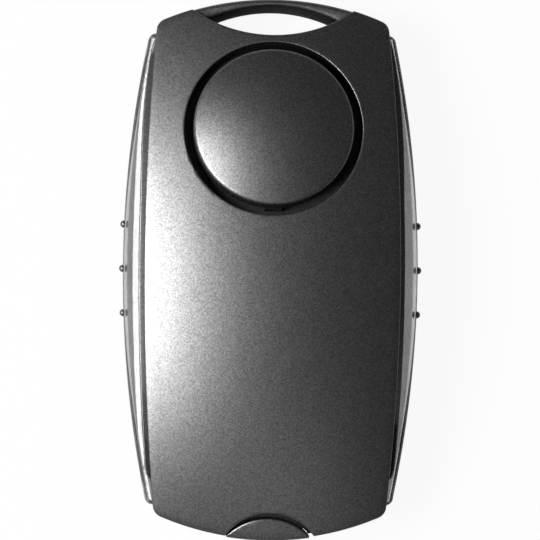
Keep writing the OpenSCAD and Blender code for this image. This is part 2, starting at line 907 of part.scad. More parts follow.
// Battery contacts above and behind the tray
leaf_low = guide_high - strip_thick;
terminal_x = -2.75;
bridge_x = 2.25;
leaf_half_width = 1.25;
dimple_round = 0.9;
leaf_end = 3;
lead_margin = 0.8;
cell_count = 3;
cell_places = [for (i = [0:cell_count - 1]) -outer_cell + cell_pitch * i];

module contact_carrier() {
    color("black") difference() {
        union() {
            translate([-carrier_half_width, carrier_from, guide_high])
                cube([2 * carrier_half_width, carrier_to - carrier_from, carrier_thick]);
            at_both_sides() {
                upright(carrier_screw_x, carrier_screw_y, carrier_boss_round, guide_high,
                    guide_high + carrier_thick);
                translate([carrier_half_width - overlap, carrier_screw_y - carrier_boss_round, guide_high])
                    cube([carrier_boss_round + overlap, 2 * carrier_boss_round, carrier_thick]);
            }
        }
        at_both_sides()
            upright(carrier_screw_x, carrier_screw_y, inner_passage, guide_high - past,
                guide_high + carrier_thick + past);
    }
}

module leaf(x, from, to, places) {
    translate([x - leaf_half_width, from, leaf_low]) cube([2 * leaf_half_width, to - from, strip_thick]);
    for (y = places) upright(x, y, dimple_round, cell_high + contact_gap, leaf_low + overlap);
}

module top_contacts() {
    color("silver") {
        leaf(terminal_x, carrier_from, end_lead_y + lead_margin, [cell_places[0]]);
        leaf(bridge_x, cell_places[1] - leaf_end, cell_places[2] + leaf_end,
            [cell_places[1], cell_places[2]]);
    }
}

end_leaf_half_width = 2;
end_leaf_low = 3.4;
end_dimple_high = 5.2;

module end_contact() {
    color("silver") {
        translate([-end_leaf_half_width, end_leaf_y, end_leaf_low])
            cube([2 * end_leaf_half_width, strip_thick, end_post_high + strip_thick - end_leaf_low]);
        translate([-end_leaf_half_width, end_leaf_y, end_post_high])
            cube([2 * end_leaf_half_width, end_lead_y + lead_margin - end_leaf_y, strip_thick]);
        translate([drawer_shift, end_leaf_y + overlap, end_dimple_high]) rotate([90, 0, 0])
            cylinder(r = dimple_round, h = end_leaf_y + overlap - tray_end - strip_thick - contact_gap);
    }
}

// Height of the board's underside at a given place along Y
function board_under(y) =
    let (along = (y - button_centre - board_low * sin(button_tilt)) / cos(button_tilt))
    face_height(0, button_centre) - along * sin(button_tilt) + board_low * cos(button_tilt);

lead_wire = 0.4;
lead_room = 0.1;
lead_top = board_under(end_lead_y) - lead_room;

module battery_leads() {
    color("firebrick") {
        upright(terminal_x, end_lead_y, lead_wire, guide_high, lead_top);
        upright(0, end_lead_y, lead_wire, end_post_high + strip_thick, lead_top);
    }
}

// Battery drawer: the half-moon pull and the tray with its three cells
pull_centre = -(pull_top + pull_round);
pull_low = 0.3;
pull_proud = 0.2;
pull_drop = 0.15;
pocket_round = cell_round + slide_gap;
cell_proud = 0.4;
tray_high = cell_high - cell_proud;
tray_from = -46;
strip_half_width = 2;
strip_gap = 0.2;
strip_end = 3;
strip_rise = 3.6;
strip_low = tray_low + tray_floor;

module drawer_place() {
    translate([drawer_shift, 0, 0]) children();
}

module battery_drawer() {
    color("dimgray") difference() {
        union() {
            intersection() {
                translate([0, -pull_proud, 0]) case_form(0, pull_drop, 0, face_edge);
                drawer_place() upright(0, pull_centre, pull_round, pull_low, reach);
                drawer_place() translate([-pull_half_width, -reach, pull_low])
                    cube([2 * pull_half_width, reach, reach]);
            }
            drawer_place() translate([-tray_half_width, tray_from, tray_low])
                cube([2 * tray_half_width, tray_end - tray_from, tray_high - tray_low]);
        }
        drawer_place() {
            for (y = cell_places) upright(0, y, pocket_round, strip_low, tray_high + past);
            translate([-strip_half_width - strip_gap, cell_places[2], strip_low])
                cube([2 * (strip_half_width + strip_gap), reach, strip_thick + seat_gap]);
            translate([-strip_half_width - strip_gap, cell_places[0], strip_low])
                cube([2 * (strip_half_width + strip_gap), cell_pitch, strip_thick + seat_gap]);
        }
    }
}

module drawer_strips() {
    color("silver") drawer_place() {
        translate([-strip_half_width, cell_places[0] - strip_end, strip_low])
            cube([2 * strip_half_width, cell_pitch + 2 * strip_end, strip_thick]);
        translate([-strip_half_width, cell_places[2] - strip_end, strip_low])
            cube([2 * strip_half_width, tray_end + strip_thick - cell_places[2] + strip_end, strip_thick]);
        translate([-strip_half_width, tray_end, strip_low])
            cube([2 * strip_half_width, strip_thick, strip_rise]);
    }
}

// A cell is a can with a stepped cap
cap_height = 0.5;
cap_step = 0.9;

module button_cell() {
    upright(0, 0, cell_round, 0, cell_height - cap_height);
    upright(0, 0, cell_round - cap_step, cell_height - cap_height - overlap, cell_height);
}

module button_cells() {
    color("gainsboro") drawer_place() for (i = [0:cell_count - 1]) {
        if (i == 1) translate([0, cell_places[i], cell_high]) mirror([0, 0, 1]) button_cell();
        else translate([0, cell_places[i], cell_low]) button_cell();
    }
}

// Screws in their places
module case_screws() {
    color("silver") for (place = case_screw_places)
        translate([place[0], place[1], case_seat])
            screw(case_shank, case_shank_length, case_head, case_head_height);
}

module inner_screws() {
    color("silver") {
        on_button_axis() {
            for (angle = ear_angles) rotate([0, 0, angle])
                translate([ear_radius, 0, ear_low]) inner_screw();
            for (place = concat(standoff_places, board_boss_places))
                translate([place[0], place[1], board_low]) inner_screw();
        }
        at_both_sides() translate([carrier_screw_x, carrier_screw_y, guide_high + carrier_thick])
            mirror([0, 0, 1]) inner_screw();
    }
}

front_shell();
back_shell();
left_window();
right_window();
siren_button();
button_spring();
button_well();
sound_gasket();
siren_plate();
siren_ceramic();
siren_retainer();
siren_contacts();
circuit_board();
switch_body();
switch_plunger();
driver_chip();
coil_core();
coil_winding();
capacitor();
left_lamp();
right_lamp();
contact_carrier();
top_contacts();
end_contact();
battery_leads();
battery_drawer();
drawer_strips();
button_cells();
case_screws();
inner_screws();
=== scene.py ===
"""Looks of the personal safety alarm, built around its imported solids.

Shapes are made in millimetres in the frame of the solids and scaled to metres at the end.
"""

import json
import logging
import math
from dataclasses import dataclass, field
from enum import Enum
from typing import Any, Callable, Sequence

import bpy
import numpy as np
from mathutils import Matrix, Vector


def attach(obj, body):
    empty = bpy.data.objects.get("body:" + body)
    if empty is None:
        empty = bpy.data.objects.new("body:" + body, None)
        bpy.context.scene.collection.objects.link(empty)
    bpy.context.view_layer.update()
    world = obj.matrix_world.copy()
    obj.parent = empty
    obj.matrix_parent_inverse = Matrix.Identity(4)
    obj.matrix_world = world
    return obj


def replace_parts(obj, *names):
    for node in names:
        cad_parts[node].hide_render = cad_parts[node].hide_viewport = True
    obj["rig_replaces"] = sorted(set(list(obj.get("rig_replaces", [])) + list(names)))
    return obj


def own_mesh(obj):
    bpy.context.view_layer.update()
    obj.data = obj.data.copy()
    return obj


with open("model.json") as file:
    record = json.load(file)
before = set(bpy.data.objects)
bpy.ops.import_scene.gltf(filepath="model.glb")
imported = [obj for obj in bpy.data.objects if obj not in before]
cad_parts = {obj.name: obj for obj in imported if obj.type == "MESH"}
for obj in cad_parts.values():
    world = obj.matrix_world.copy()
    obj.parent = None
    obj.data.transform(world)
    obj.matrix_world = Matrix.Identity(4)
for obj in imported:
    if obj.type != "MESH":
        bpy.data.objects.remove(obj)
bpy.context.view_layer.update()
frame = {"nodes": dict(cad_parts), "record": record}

log = logging.getLogger("safety_alarm")

IMAGE_PIXELS = 540

METRES = 0.001  # metres in a millimetre
OVERLAP = 0.1  # how far joined shapes run into each other
PAST = 1.0  # how far a cutter runs past its cut
REACH = 60.0  # a length beyond the whole case
SEAT_GAP = 0.05  # gap between fitted pieces
SHARP_ANGLE = math.radians(32.0)  # angle from which an edge stays sharp
SIDES = 64  # sides of a plain round shape
FEW_SIDES = 32  # sides of a small round shape
MANY_SIDES = 256  # sides of a large round shape

UPRIGHT = Matrix.Identity(4)
WHITE = (1.0, 1.0, 1.0, 1.0)

Colour = tuple[float, float, float]
Spot = tuple[float, float]
Numbers = np.ndarray | float
Heights = Callable[[np.ndarray, np.ndarray], np.ndarray]

ORIGIN: Spot = (0.0, 0.0)


class Slot(Enum):
    """Material slots of the record."""

    CASE_PAINT = "case_paint"
    CLEAR_WINDOW = "clear_window"
    BLACK_PLASTIC = "black_plastic"
    SPRING_STEEL = "spring_steel"
    FOAM_RUBBER = "foam_rubber"
    SIREN_BRASS = "siren_brass"
    SIREN_CERAMIC = "siren_ceramic"
    CONTACT_BRASS = "contact_brass"
    BOARD_LAMINATE = "board_laminate"
    WHITE_PLASTIC = "white_plastic"
    FERRITE = "ferrite"
    COPPER_WIRE = "copper_wire"
    CAPACITOR_SLEEVE = "capacitor_sleeve"
    LAMP_RESIN = "lamp_resin"
    CONTACT_STEEL = "contact_steel"
    LEAD_SLEEVE = "lead_sleeve"
    CELL_STEEL = "cell_steel"
    SCREW_STEEL = "screw_steel"


class Side(Enum):
    """Sides of the case, as the sign of X."""

    LEFT = -1
    RIGHT = 1


class Cut(Enum):
    """Ways to combine two closed shapes."""

    JOIN = "UNION"
    REMOVE = "DIFFERENCE"
    KEEP = "INTERSECT"


class NodeGraph:
    """A node tree under construction."""

    def __init__(self, tree: bpy.types.NodeTree) -> None:
        """Start with an empty tree."""
        self.tree = tree
        tree.nodes.clear()

    def feed(self, node: Any, inputs: dict[str | int, Any]) -> None:
        """Give inputs of a node their values or sources.

        Args:
            node: The node.
            inputs: Plain values, sockets or lists of sockets, by the input's name or place.
        """
        for name, value in inputs.items():
            for source in value if isinstance(value, list) else [value]:
                if isinstance(source, bpy.types.NodeSocket):
                    self.tree.links.new(source, node.inputs[name])
                else:
                    node.inputs[name].default_value = source

    def add(self, kind: str, inputs: dict[str | int, Any] | None = None, **settings: Any) -> Any:
        """Add a node.

        Args:
            kind: Type name of the node.
            inputs: What its inputs are fed with.
            settings: Properties of the node.

        Returns:
            The new node.
        """
        node = self.tree.nodes.new(kind)
        for name, value in settings.items():
            setattr(node, name, value)
        self.feed(node, inputs or {})
        return node

    def math(self, operation: str, *terms: Any) -> Any:
        """Add a sum, product or other calculation and return its result."""
        return self.add("ShaderNodeMath", dict(enumerate(terms)), operation=operation).outputs[0]


class MaterialNodes(NodeGraph):
    """A material under construction, with one surface shader."""

    def __init__(self, name: str) -> None:
        """Start a material of this name."""
        self.material = bpy.data.materials.new(name)
        self.material.use_nodes = True
        super().__init__(self.material.node_tree)
        self.shader = self.add("ShaderNodeBsdfPrincipled")
        self.output = self.add("ShaderNodeOutputMaterial", {"Surface": self.shader.outputs["BSDF"]})

    def texture(self, kind: str, inputs: dict[str | int, Any]) -> Any:
        """Add a texture that is fixed to the frame of the solids and return its outputs."""
        place = self.add("ShaderNodeTexCoord").outputs["Object"]
        return self.add(kind, {"Vector": place, **inputs}).outputs

    def ramp(self, source: Any, ends: Spot, tones: tuple[Colour, Colour]) -> Any:
        """Turn a number into a colour between two tones.

        Args:
            source: Socket with the number.
            ends: Numbers that give the first and the second tone.
            tones: The two tones.

        Returns:
            Socket with the colour.
        """
        node = self.add("ShaderNodeValToRGB", {"Fac": source})
        for element, place, tone in zip(node.color_ramp.elements, ends, tones):
            element.position = place
            element.color = (*tone, 1.0)
        return node.outputs["Color"]

    def spread(self, source: Any, middle: float, share: float) -> Any:
        """Turn a number from zero to one into a value that strays by a share from a middle one."""
        ends = {"To Min": middle * (1.0 - share), "To Max": middle * (1.0 + share)}
        return self.add("ShaderNodeMapRange", {"Value": source, **ends}).outputs["Result"]

    def bump(self, height: Any, strength: float, depth: float) -> Any:
        """Turn a number into a relief with a depth in metres."""
        inputs = {"Height": height, "Strength": strength, "Distance": depth}
        return self.add("ShaderNodeBump", inputs).outputs["Normal"]


@dataclass(frozen=True)
class Finish:
    """A surface with a fine grain of two tones."""

    slot: Slot
    tones: tuple[Colour, Colour]
    roughness: float
    metallic: float = 0.0
    grain: float = 900.0
    grain_detail: float = 4.0
    tone_ends: Spot = (0.3, 0.7)
    rough_share: float = 0.12
    relief: float = 4e-6
    relief_strength: float = 0.5

    def noise(self, nodes: MaterialNodes) -> Any:
        """The socket with the grain's noise."""
        return nodes.texture("ShaderNodeTexNoise", {"Scale": self.grain, "Detail": self.grain_detail})["Fac"]

    def look(self, nodes: MaterialNodes) -> dict[str, Any]:
        """Make the nodes of the finish.

        Args:
            nodes: The material under construction.

        Returns:
            What the shader's inputs are fed with.
        """
        noise = self.noise(nodes)
        return {
            "Base Color": nodes.ramp(noise, self.tone_ends, self.tones),
            "Roughness": nodes.spread(noise, self.roughness, self.rough_share),
            "Metallic": self.metallic,
            "Normal": nodes.bump(noise, self.relief_strength, self.relief),
        }

    def build(self) -> bpy.types.Material:
        """Make the material.

        Returns:
            The finished material.
        """
        nodes = MaterialNodes(self.slot.value)
        nodes.feed(nodes.shader, self.look(nodes))
        return nodes.material


@dataclass(frozen=True)
class FlakePaint(Finish):
    """Metallic paint: small flakes of several tones that lean a little each way."""

    metallic: float = 1.0
    grain: float = 300.0
    grain_detail: float = 3.0
    tone_ends: Spot = (0.1, 0.95)
    rough_share: float = 0.06
    relief: float = 2.5e-6
    relief_strength: float = 0.25
    flake: float = 7000.0
    edge_tint: float = 0.1

    def look(self, nodes: MaterialNodes) -> dict[str, Any]:
        """Make the nodes of the paint.

        Args:
            nodes: The material under construction.

        Returns:
            What the shader's inputs are fed with.
        """
        flakes = nodes.texture("ShaderNodeTexVoronoi", {"Scale": self.flake})["Color"]
        shades = nodes.add("ShaderNodeSeparateColor", {"Color": flakes}).outputs
        return {
            "Base Color": nodes.ramp(shades["Red"], self.tone_ends, self.tones),
            "Roughness": nodes.spread(self.noise(nodes), self.roughness, self.rough_share),
            "Metallic": self.metallic,
            "Specular Tint": (*grey(self.edge_tint), 1.0),
            "Normal": nodes.bump(shades["Green"], self.relief_strength, self.relief),
        }


@dataclass(frozen=True)
class ClearPlastic(Finish):
    """Clear moulded plastic with a smoky grey tint, which also stands in as painted shade for the shadowed
    floor seen through it, and slight flow marks.
    """

    grain: float = 220.0
    grain_detail: float = 2.0
    relief: float = 2e-5
    relief_strength: float = 0.3
    refraction: float = 1.49
    clearness: float = 0.93

    def look(self, nodes: MaterialNodes) -> dict[str, Any]:
        """Make the nodes of the plastic.

        Args:
            nodes: The material under construction.

        Returns:
            What the shader's inputs are fed with.
        """
        flow = self.noise(nodes)
        return {
            # the grey base colour darkens the floor seen through the bar: partly a smoky tint, partly painted
            # shade of the floor under the case
            "Base Color": nodes.ramp(flow, self.tone_ends, self.tones),
            "Roughness": self.roughness,
            "Transmission Weight": self.clearness,
            "IOR": self.refraction,
            "Normal": nodes.bump(flow, self.relief_strength, self.relief),
        }


def grey(tone: float) -> Colour:
    """A colour without a hue."""
    return (tone, tone, tone)


FINISHES: tuple[Finish, ...] = (
    FlakePaint(Slot.CASE_PAINT, (grey(0.135), grey(0.28)), 0.4),
    # the window's grey tones are partly a smoky tint and partly painted shade of the floor under the case,
    # seen through the bar
    ClearPlastic(Slot.CLEAR_WINDOW, (grey(0.57), grey(0.5)), 0.05),
    Finish(Slot.BLACK_PLASTIC, ((0.03, 0.031, 0.032), (0.042, 0.043, 0.044)), 0.55),
    Finish(Slot.SPRING_STEEL, ((0.55, 0.55, 0.56), grey(0.68)), 0.28, metallic=1.0),
    Finish(Slot.FOAM_RUBBER, (grey(0.02), grey(0.05)), 0.95, grain=3500.0, relief=8e-5),
    Finish(Slot.SIREN_BRASS, ((0.68, 0.50, 0.20), (0.78, 0.60, 0.28)), 0.3, metallic=1.0),
    Finish(Slot.SIREN_CERAMIC, ((0.62, 0.60, 0.52), (0.70, 0.68, 0.60)), 0.5),
    Finish(Slot.CONTACT_BRASS, ((0.75, 0.58, 0.22), (0.85, 0.68, 0.32)), 0.25, metallic=1.0),
    Finish(Slot.BOARD_LAMINATE, ((0.01, 0.10, 0.04), (0.02, 0.14, 0.06)), 0.45, grain=1600.0),
    Finish(Slot.WHITE_PLASTIC, ((0.74, 0.74, 0.72), (0.80, 0.80, 0.78)), 0.4),
    Finish(Slot.FERRITE, (grey(0.05), grey(0.09)), 0.7, grain=2500.0, relief=2e-5),
    Finish(Slot.COPPER_WIRE, ((0.52, 0.20, 0.07), (0.64, 0.28, 0.10)), 0.3, metallic=1.0),
    Finish(Slot.CAPACITOR_SLEEVE, ((0.02, 0.03, 0.10), (0.03, 0.05, 0.15)), 0.35),
    Finish(Slot.LAMP_RESIN, ((0.78, 0.78, 0.74), (0.86, 0.86, 0.82)), 0.25),
    Finish(Slot.CONTACT_STEEL, ((0.60, 0.60, 0.58), (0.72, 0.72, 0.70)), 0.25, metallic=1.0),
    Finish(Slot.LEAD_SLEEVE, ((0.42, 0.03, 0.02), (0.52, 0.05, 0.04)), 0.45),
    Finish(Slot.CELL_STEEL, ((0.62, 0.62, 0.60), (0.74, 0.74, 0.72)), 0.22, metallic=1.0),
    Finish(Slot.SCREW_STEEL, ((0.30, 0.30, 0.31), (0.42, 0.42, 0.43)), 0.35, metallic=1.0),
)


def in_scene(name: str, data: Any) -> bpy.types.Object:
    """Make an object and put it into the scene.

    Args:
        name: Name of the object.
        data: Its mesh, light or camera.

    Returns:
        The object.
    """
    thing = bpy.data.objects.new(name, data)
    bpy.context.scene.collection.objects.link(thing)
    return thing


def plain_mesh(name: str, points: Sequence[Any], faces: Sequence[Sequence[int]] = ()) -> bpy.types.Mesh:
    """Make a mesh.

    Args:
        name: Name of the mesh.
        points: Corner points, one per row.
        faces: Corner numbers of each face, to the left as seen from outside, or none for loose points.

    Returns:
        The mesh.
    """
    mesh = bpy.data.meshes.new(name)
    mesh.from_pydata(np.array(points).tolist(), [], faces)
    mesh.update()
    return mesh


def settled_mesh(thing: bpy.types.Object) -> bpy.types.Mesh:
    """Turn an object with modifiers into a plain mesh and take the modifiers off.

    Args:
        thing: The object.

    Returns:
        The mesh as the modifiers leave it.
    """
    evaluated = thing.evaluated_get(bpy.context.evaluated_depsgraph_get())
    mesh = bpy.data.meshes.new_from_object(evaluated)
    thing.modifiers.clear()
    return mesh


class Form:
    """A closed shape in millimetres, kept as a Blender object while it is worked on."""

    def __init__(self, mesh: bpy.types.Mesh) -> None:
        """Put a closed mesh, whose faces point outwards, into the scene."""
        self.object = in_scene("form", mesh)

    def move(self, matrix: Matrix) -> "Form":
        """Move the shape by a matrix and return it."""
        self.object.data.transform(matrix)
        return self

    def on_side(self, side: Side) -> "Form":
        """Take a shape of the right side over to a side.

        Args:
            side: The side where it belongs.

        Returns:
            This shape.
        """
        if side is Side.LEFT:
            self.move(Matrix.Scale(-1.0, 4, Vector((1.0, 0.0, 0.0))))
            self.object.data.flip_normals()
        return self

    def discard(self) -> bpy.types.Mesh:
        """Take the shape out of the scene and return its mesh."""
        mesh = self.object.data
        bpy.data.objects.remove(self.object)
        return mesh

    def combine(self, cut: Cut, others: Sequence["Form"]) -> "Form":
        """Combine this shape with others, which are used up.

        Args:
            cut: The way to combine them.
            others: The other shapes.

        Returns:
            This shape.
        """
        for other in others:
            modifier = self.object.modifiers.new("combine", "BOOLEAN")
            modifier.operation = cut.value
            modifier.solver = "MANIFOLD"
            modifier.object = other.object
            self.object.data = settled_mesh(self.object)
            bpy.data.meshes.remove(other.discard())
        return self

    def join(self, *others: "Form") -> "Form":
        """Add other shapes and return this one."""
        return self.combine(Cut.JOIN, others)

    def remove(self, *others: "Form") -> "Form":
        """Cut other shapes out and return this one."""
        return self.combine(Cut.REMOVE, others)

    def keep(self, *others: "Form") -> "Form":
        """Keep only what lies in the other shapes too and return this one."""
        return self.combine(Cut.KEEP, others)

    def seat(self, shop: "Workshop", node: str, ending: str, slot: Slot,
             body: str = "case") -> bpy.types.Object:
        """Turn the shape into a finished piece in metres that stands for a solid.

        Args:
            shop: The finished materials.
            node: Name of the solid.
            ending: Last part of the piece's name.
            slot: The record's slot that gives its finish.
            body: Name of the body that it rides on.

        Returns:
            The piece, at the origin.
        """
        mesh = self.discard()
        mesh.transform(Matrix.Scale(METRES, 4))
        mesh.shade_smooth()
        mesh.set_sharp_from_angle(angle=SHARP_ANGLE)
        mesh.name = f"{node}_{ending}"
        piece = in_scene(mesh.name, mesh)
        shop.dress(piece, slot)
        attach(piece, body)
        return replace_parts(piece, node)


class ShapeTree(NodeGraph):
    """A Geometry Nodes tree under construction, which takes and gives a geometry."""

    def __init__(self, name: str) -> None:
        """Start a tree of this name."""
        super().__init__(bpy.data.node_groups.new(name, "GeometryNodeTree"))
        for direction in ("INPUT", "OUTPUT"):
            self.tree.interface.new_socket("Geometry", in_out=direction, socket_type="NodeSocketGeometry")
        self.start = self.add("NodeGroupInput")
        self.geometry = self.start.outputs["Geometry"]

    def size(self, name: str, kind: str = "NodeSocketFloat") -> Any:
        """Add a named input and return its socket."""
        self.tree.interface.new_socket(name, in_out="INPUT", socket_type=kind)
        return self.start.outputs[name]

    def attribute(self, name: str, kind: str = "FLOAT") -> Any:
        """The socket with a named number or vector of every point."""
        node = self.add("GeometryNodeInputNamedAttribute", {"Name": name}, data_type=kind)
        return node.outputs["Attribute"]

    def vector(self, **parts: Any) -> Any:
        """Put a vector together from its parts and return its socket."""
        return self.add("ShaderNodeCombineXYZ", parts).outputs["Vector"]

    def on_points(self, shape: Any, **inputs: Any) -> Any:
        """Set a shape on every point of the mesh and return the socket with all of them."""
        points = self.add("GeometryNodeMeshToPoints", {"Mesh": self.geometry}).outputs["Points"]
        inputs |= {"Points": points, "Instance": shape}
        return self.add("GeometryNodeInstanceOnPoints", inputs).outputs["Instances"]

    def close(self, geometry: Any) -> None:
        """End the tree in plain geometry with a material.

        Args:
            geometry: Socket with the finished shape.
        """
        material = self.size("Material", "NodeSocketMaterial")
        real = self.add("GeometryNodeRealizeInstances", {"Geometry": geometry}).outputs["Geometry"]
        painted = self.add("GeometryNodeSetMaterial", {"Geometry": real, "Material": material})
        self.add("NodeGroupOutput", {"Geometry": painted.outputs["Geometry"]})

    def run(self, mesh: bpy.types.Mesh, sizes: dict[str, Any]) -> Form:
        """Apply the tree to a mesh, which is used up.

        Args:
            mesh: The mesh that the tree starts from.
            sizes: Values of the named inputs.

        Returns:
            The shape.
        """
        thing = in_scene(self.tree.name, mesh)
        modifier = thing.modifiers.new("shape", "NODES")
        modifier.node_group = self.tree
        for item in self.tree.interface.items_tree:
            if item.in_out == "INPUT" and item.name in sizes:
                modifier[item.identifier] = sizes[item.name]
        result = settled_mesh(thing)
        bpy.data.objects.remove(thing)
        bpy.data.meshes.remove(mesh)
        return Form(result)


def ring_stack(rings: Sequence[np.ndarray], first_tip: Sequence[float], last_tip: Sequence[float]) -> Form:
    """Make a closed shape from a row of rings, with a fan to a point at each end.

    Args:
        rings: Rings of equal length, each one point per row, counted to the left as seen from the last tip.
        first_tip: Point that closes the first ring.
        last_tip: Point that closes the last ring.

    Returns:
        The shape.
    """
    count = len(rings[0])
    first = count * len(rings)
    steps = [(k * count, (k + 1) * count) for k in range(len(rings) - 1)]
    turns = [(i, (i + 1) % count) for i in range(count)]
    faces = [(low + i, low + j, high + j, high + i) for low, high in steps for i, j in turns]
    faces += [(first, j, i) for i, j in turns]
    faces += [(first + 1, first - count + i, first - count + j) for i, j in turns]
    return Form(plain_mesh("form", np.vstack([*rings, [first_tip], [last_tip]]), faces))


def upright_stack(rings: Sequence[np.ndarray], low: float, high: float, middle: Spot = ORIGIN) -> Form:
    """Make a closed upright shape from a row of rings, with its tips on one axis."""
    return ring_stack(rings, (*middle, low), (*middle, high))


def level_ring(plan: np.ndarray, height: float) -> np.ndarray:
    """A plan at one height."""
    return np.column_stack([plan, np.full(len(plan), height)])


def circle(radius: float, sides: int) -> np.ndarray:
    """Points of a circle round the origin."""
    turn = np.linspace(0.0, 2.0 * math.pi, sides, endpoint=False)
    return np.column_stack([radius * np.cos(turn), radius * np.sin(turn)])


def disc(place: Spot, radius: float, low: float, high: float, sides: int = SIDES) -> Form:
    """An upright cylinder between two heights."""
    plan = circle(radius, sides) + np.array(place)
    return upright_stack([level_ring(plan, low), level_ring(plan, high)], low, high, place)


def discs(places: Sequence[Spot], radius: float, low: float, high: float, sides: int = SIDES,
          matrix: Matrix = UPRIGHT) -> list[Form]:
    """Equal cylinders in several places, moved by a matrix."""
    return [disc(place, radius, low, high, sides).move(matrix) for place in places]


def block(corner: Sequence[float], opposite: Sequence[float]) -> Form:
    """A block between two corners.

    Args:
        corner: One corner.
        opposite: The corner across from it.

    Returns:
        The block.
    """
    (x0, y0, z0), (x1, y1, z1) = np.sort([corner, opposite], axis=0)
    plan = np.array([(x0, y0), (x1, y0), (x1, y1), (x0, y1)])
    return upright_stack([level_ring(plan, z0), level_ring(plan, z1)], z0, z1, ((x0 + x1) / 2, (y0 + y1) / 2))


def revolve(profile: Sequence[Spot], sides: int) -> Form:
    """Turn a profile round the Z axis.

    Args:
        profile: Distances from the axis and heights, from a point on the axis to another one.
        sides: Number of sides.

    Returns:
        The shape.
    """
    rings = [level_ring(circle(radius, sides), height) for radius, height in profile[1:-1]]
    return upright_stack(rings, profile[0][1], profile[-1][1])


def sweep(sections: Sequence[np.ndarray]) -> Form:
    """Make a closed shape from sections along Y, each counted to the left as seen against Y."""
    first_tip, last_tip = sections[0].mean(axis=0), sections[-1].mean(axis=0)
    return ring_stack([section[::-1] for section in sections], first_tip, last_tip)


def section_at(y: float, rows: Sequence[Spot]) -> np.ndarray:
    """A section across the case from places across and heights."""
    return np.array([(x, y, z) for x, z in rows])


def arc(centre: Spot, radius: float, start: float, end: float, steps: int) -> list[Spot]:
    """Points of an arc in a plane.

    Args:
        centre: Centre of the arc.
        radius: Radius of the arc.
        start: First direction in degrees.
        end: Last direction in degrees.
        steps: Number of steps.

    Returns:
        The points.
    """
    turns = np.radians(np.linspace(start, end, steps + 1))
    return [(centre[0] + radius * math.cos(t), centre[1] + radius * math.sin(t)) for t in turns]


def quarter_turn(steps: int) -> np.ndarray:
    """Directions over a rounded edge, from zero to a right angle."""
    return np.linspace(0.0, math.pi / 2, steps + 1)


def heading(start: np.ndarray, end: np.ndarray) -> float:
    """Direction from one point to another."""
    return math.atan2(end[1] - start[1], end[0] - start[0])


def both_sides(places: Sequence[Spot]) -> list[Spot]:
    """Places and their mirror images."""
    return [(sign * x, y) for x, y in places for sign in (1, -1)]


@dataclass(frozen=True)
class CasePlan:
    """Outline and crowned face that the pieces of the case share."""

    top: float = 48.0
    bottom: float = 47.8
    half_width: float = 22.5
    end_round: float = 50.0
    side_round: float = 480.0
    corner_round: float = 2.2
    crown: float = 21.0
    cross_round: float = 80.0
    long_round: float = 128.0
    parting: float = 5.9
    side_wall: float = 1.7
    end_steps: int = 44
    corner_steps: int = 10
    side_steps: int = 60

    def face_height(self, x: Numbers, y: Numbers) -> Numbers:
        """Height of the crowned face over the back.

        Args:
            x: Places across.
            y: Places along.

        Returns:
            The heights.
        """
        across = self.cross_round - np.sqrt(self.cross_round**2 - np.square(x))
        along = self.long_round - np.sqrt(self.long_round**2 - np.square(y))
        return self.crown - across - along

    @property
    def side_centre(self) -> float:
        """Place across of the centre of the right side's arc."""
        return self.half_width - self.side_round

    def side_edge(self, y: float, depth: float = 0.0) -> float:
        """Place across of the right side, or of a line at a depth behind it."""
        return self.side_centre + math.sqrt((self.side_round - depth) ** 2 - y**2)

    def corner(self, end_centre: np.ndarray, sign: int) -> np.ndarray:
        """Centre of a corner's arc, which touches the arcs of the right side and of an end.

        Args:
            end_centre: Centre of the end's arc.
            sign: 1 for the top end, -1 for the bottom end.

        Returns:
            The centre.
        """
        side = np.array([self.side_centre, 0.0])
        line = end_centre - side
        apart = np.linalg.norm(line)
        side_reach = self.side_round - self.corner_round
        end_reach = self.end_round - self.corner_round
        along = (apart**2 + side_reach**2 - end_reach**2) / (2.0 * apart)
        across = math.sqrt(side_reach**2 - along**2)
        unit = line / apart
        return side + unit * along + sign * across * np.array([-unit[1], unit[0]])

    def stations(self) -> np.ndarray:
        """Points of the outline, counted to the left from the middle of the bottom.

        Returns:
            Rows of an arc's centre, its radius and the outward direction.
        """
        low_end = np.array([0.0, self.end_round - self.bottom])
        top_end = np.array([0.0, self.top - self.end_round])
        side = np.array([self.side_centre, 0.0])
        low_corner, top_corner = self.corner(low_end, -1), self.corner(top_end, 1)
        low_turn, low_side = heading(low_end, low_corner), heading(side, low_corner)
        top_side, top_turn = heading(side, top_corner), heading(top_end, top_corner)
        arcs = (
            (low_end, self.end_round, -math.pi / 2, low_turn, self.end_steps),
            (low_corner, self.corner_round, low_turn, low_side, self.corner_steps),
            (side, self.side_round, low_side, top_side, self.side_steps),
            (top_corner, self.corner_round, top_side, top_turn, self.corner_steps),
            (top_end, self.end_round, top_turn, math.pi / 2, self.end_steps),
        )
        right = [(*centre, radius, turn) for centre, radius, start, end, steps in arcs
                 for turn in np.linspace(start, end, steps, endpoint=False)]
        right.append((*top_end, self.end_round, math.pi / 2))
        left = [(-x, y, radius, math.pi - turn) for x, y, radius, turn in right[-2:0:-1]]
        return np.array(right + left)

    def outline(self, inset: float, shrink: float = 1.0) -> np.ndarray:
        """The outline, drawn in and shrunk towards the middle.

        Args:
            inset: How far it is drawn in.
            shrink: Share of its size that is left.

        Returns:
            Points of the plan.
        """
        rows = self.stations()
        reach = (rows[:, 2] - inset)[:, None]
        return (rows[:, :2] + reach * np.column_stack([np.cos(rows[:, 3]), np.sin(rows[:, 3])])) * shrink

    def level(self, inset: float, height: float) -> np.ndarray:
        """A level ring of the outline."""
        return level_ring(self.outline(inset), height)


PLAN = CasePlan()


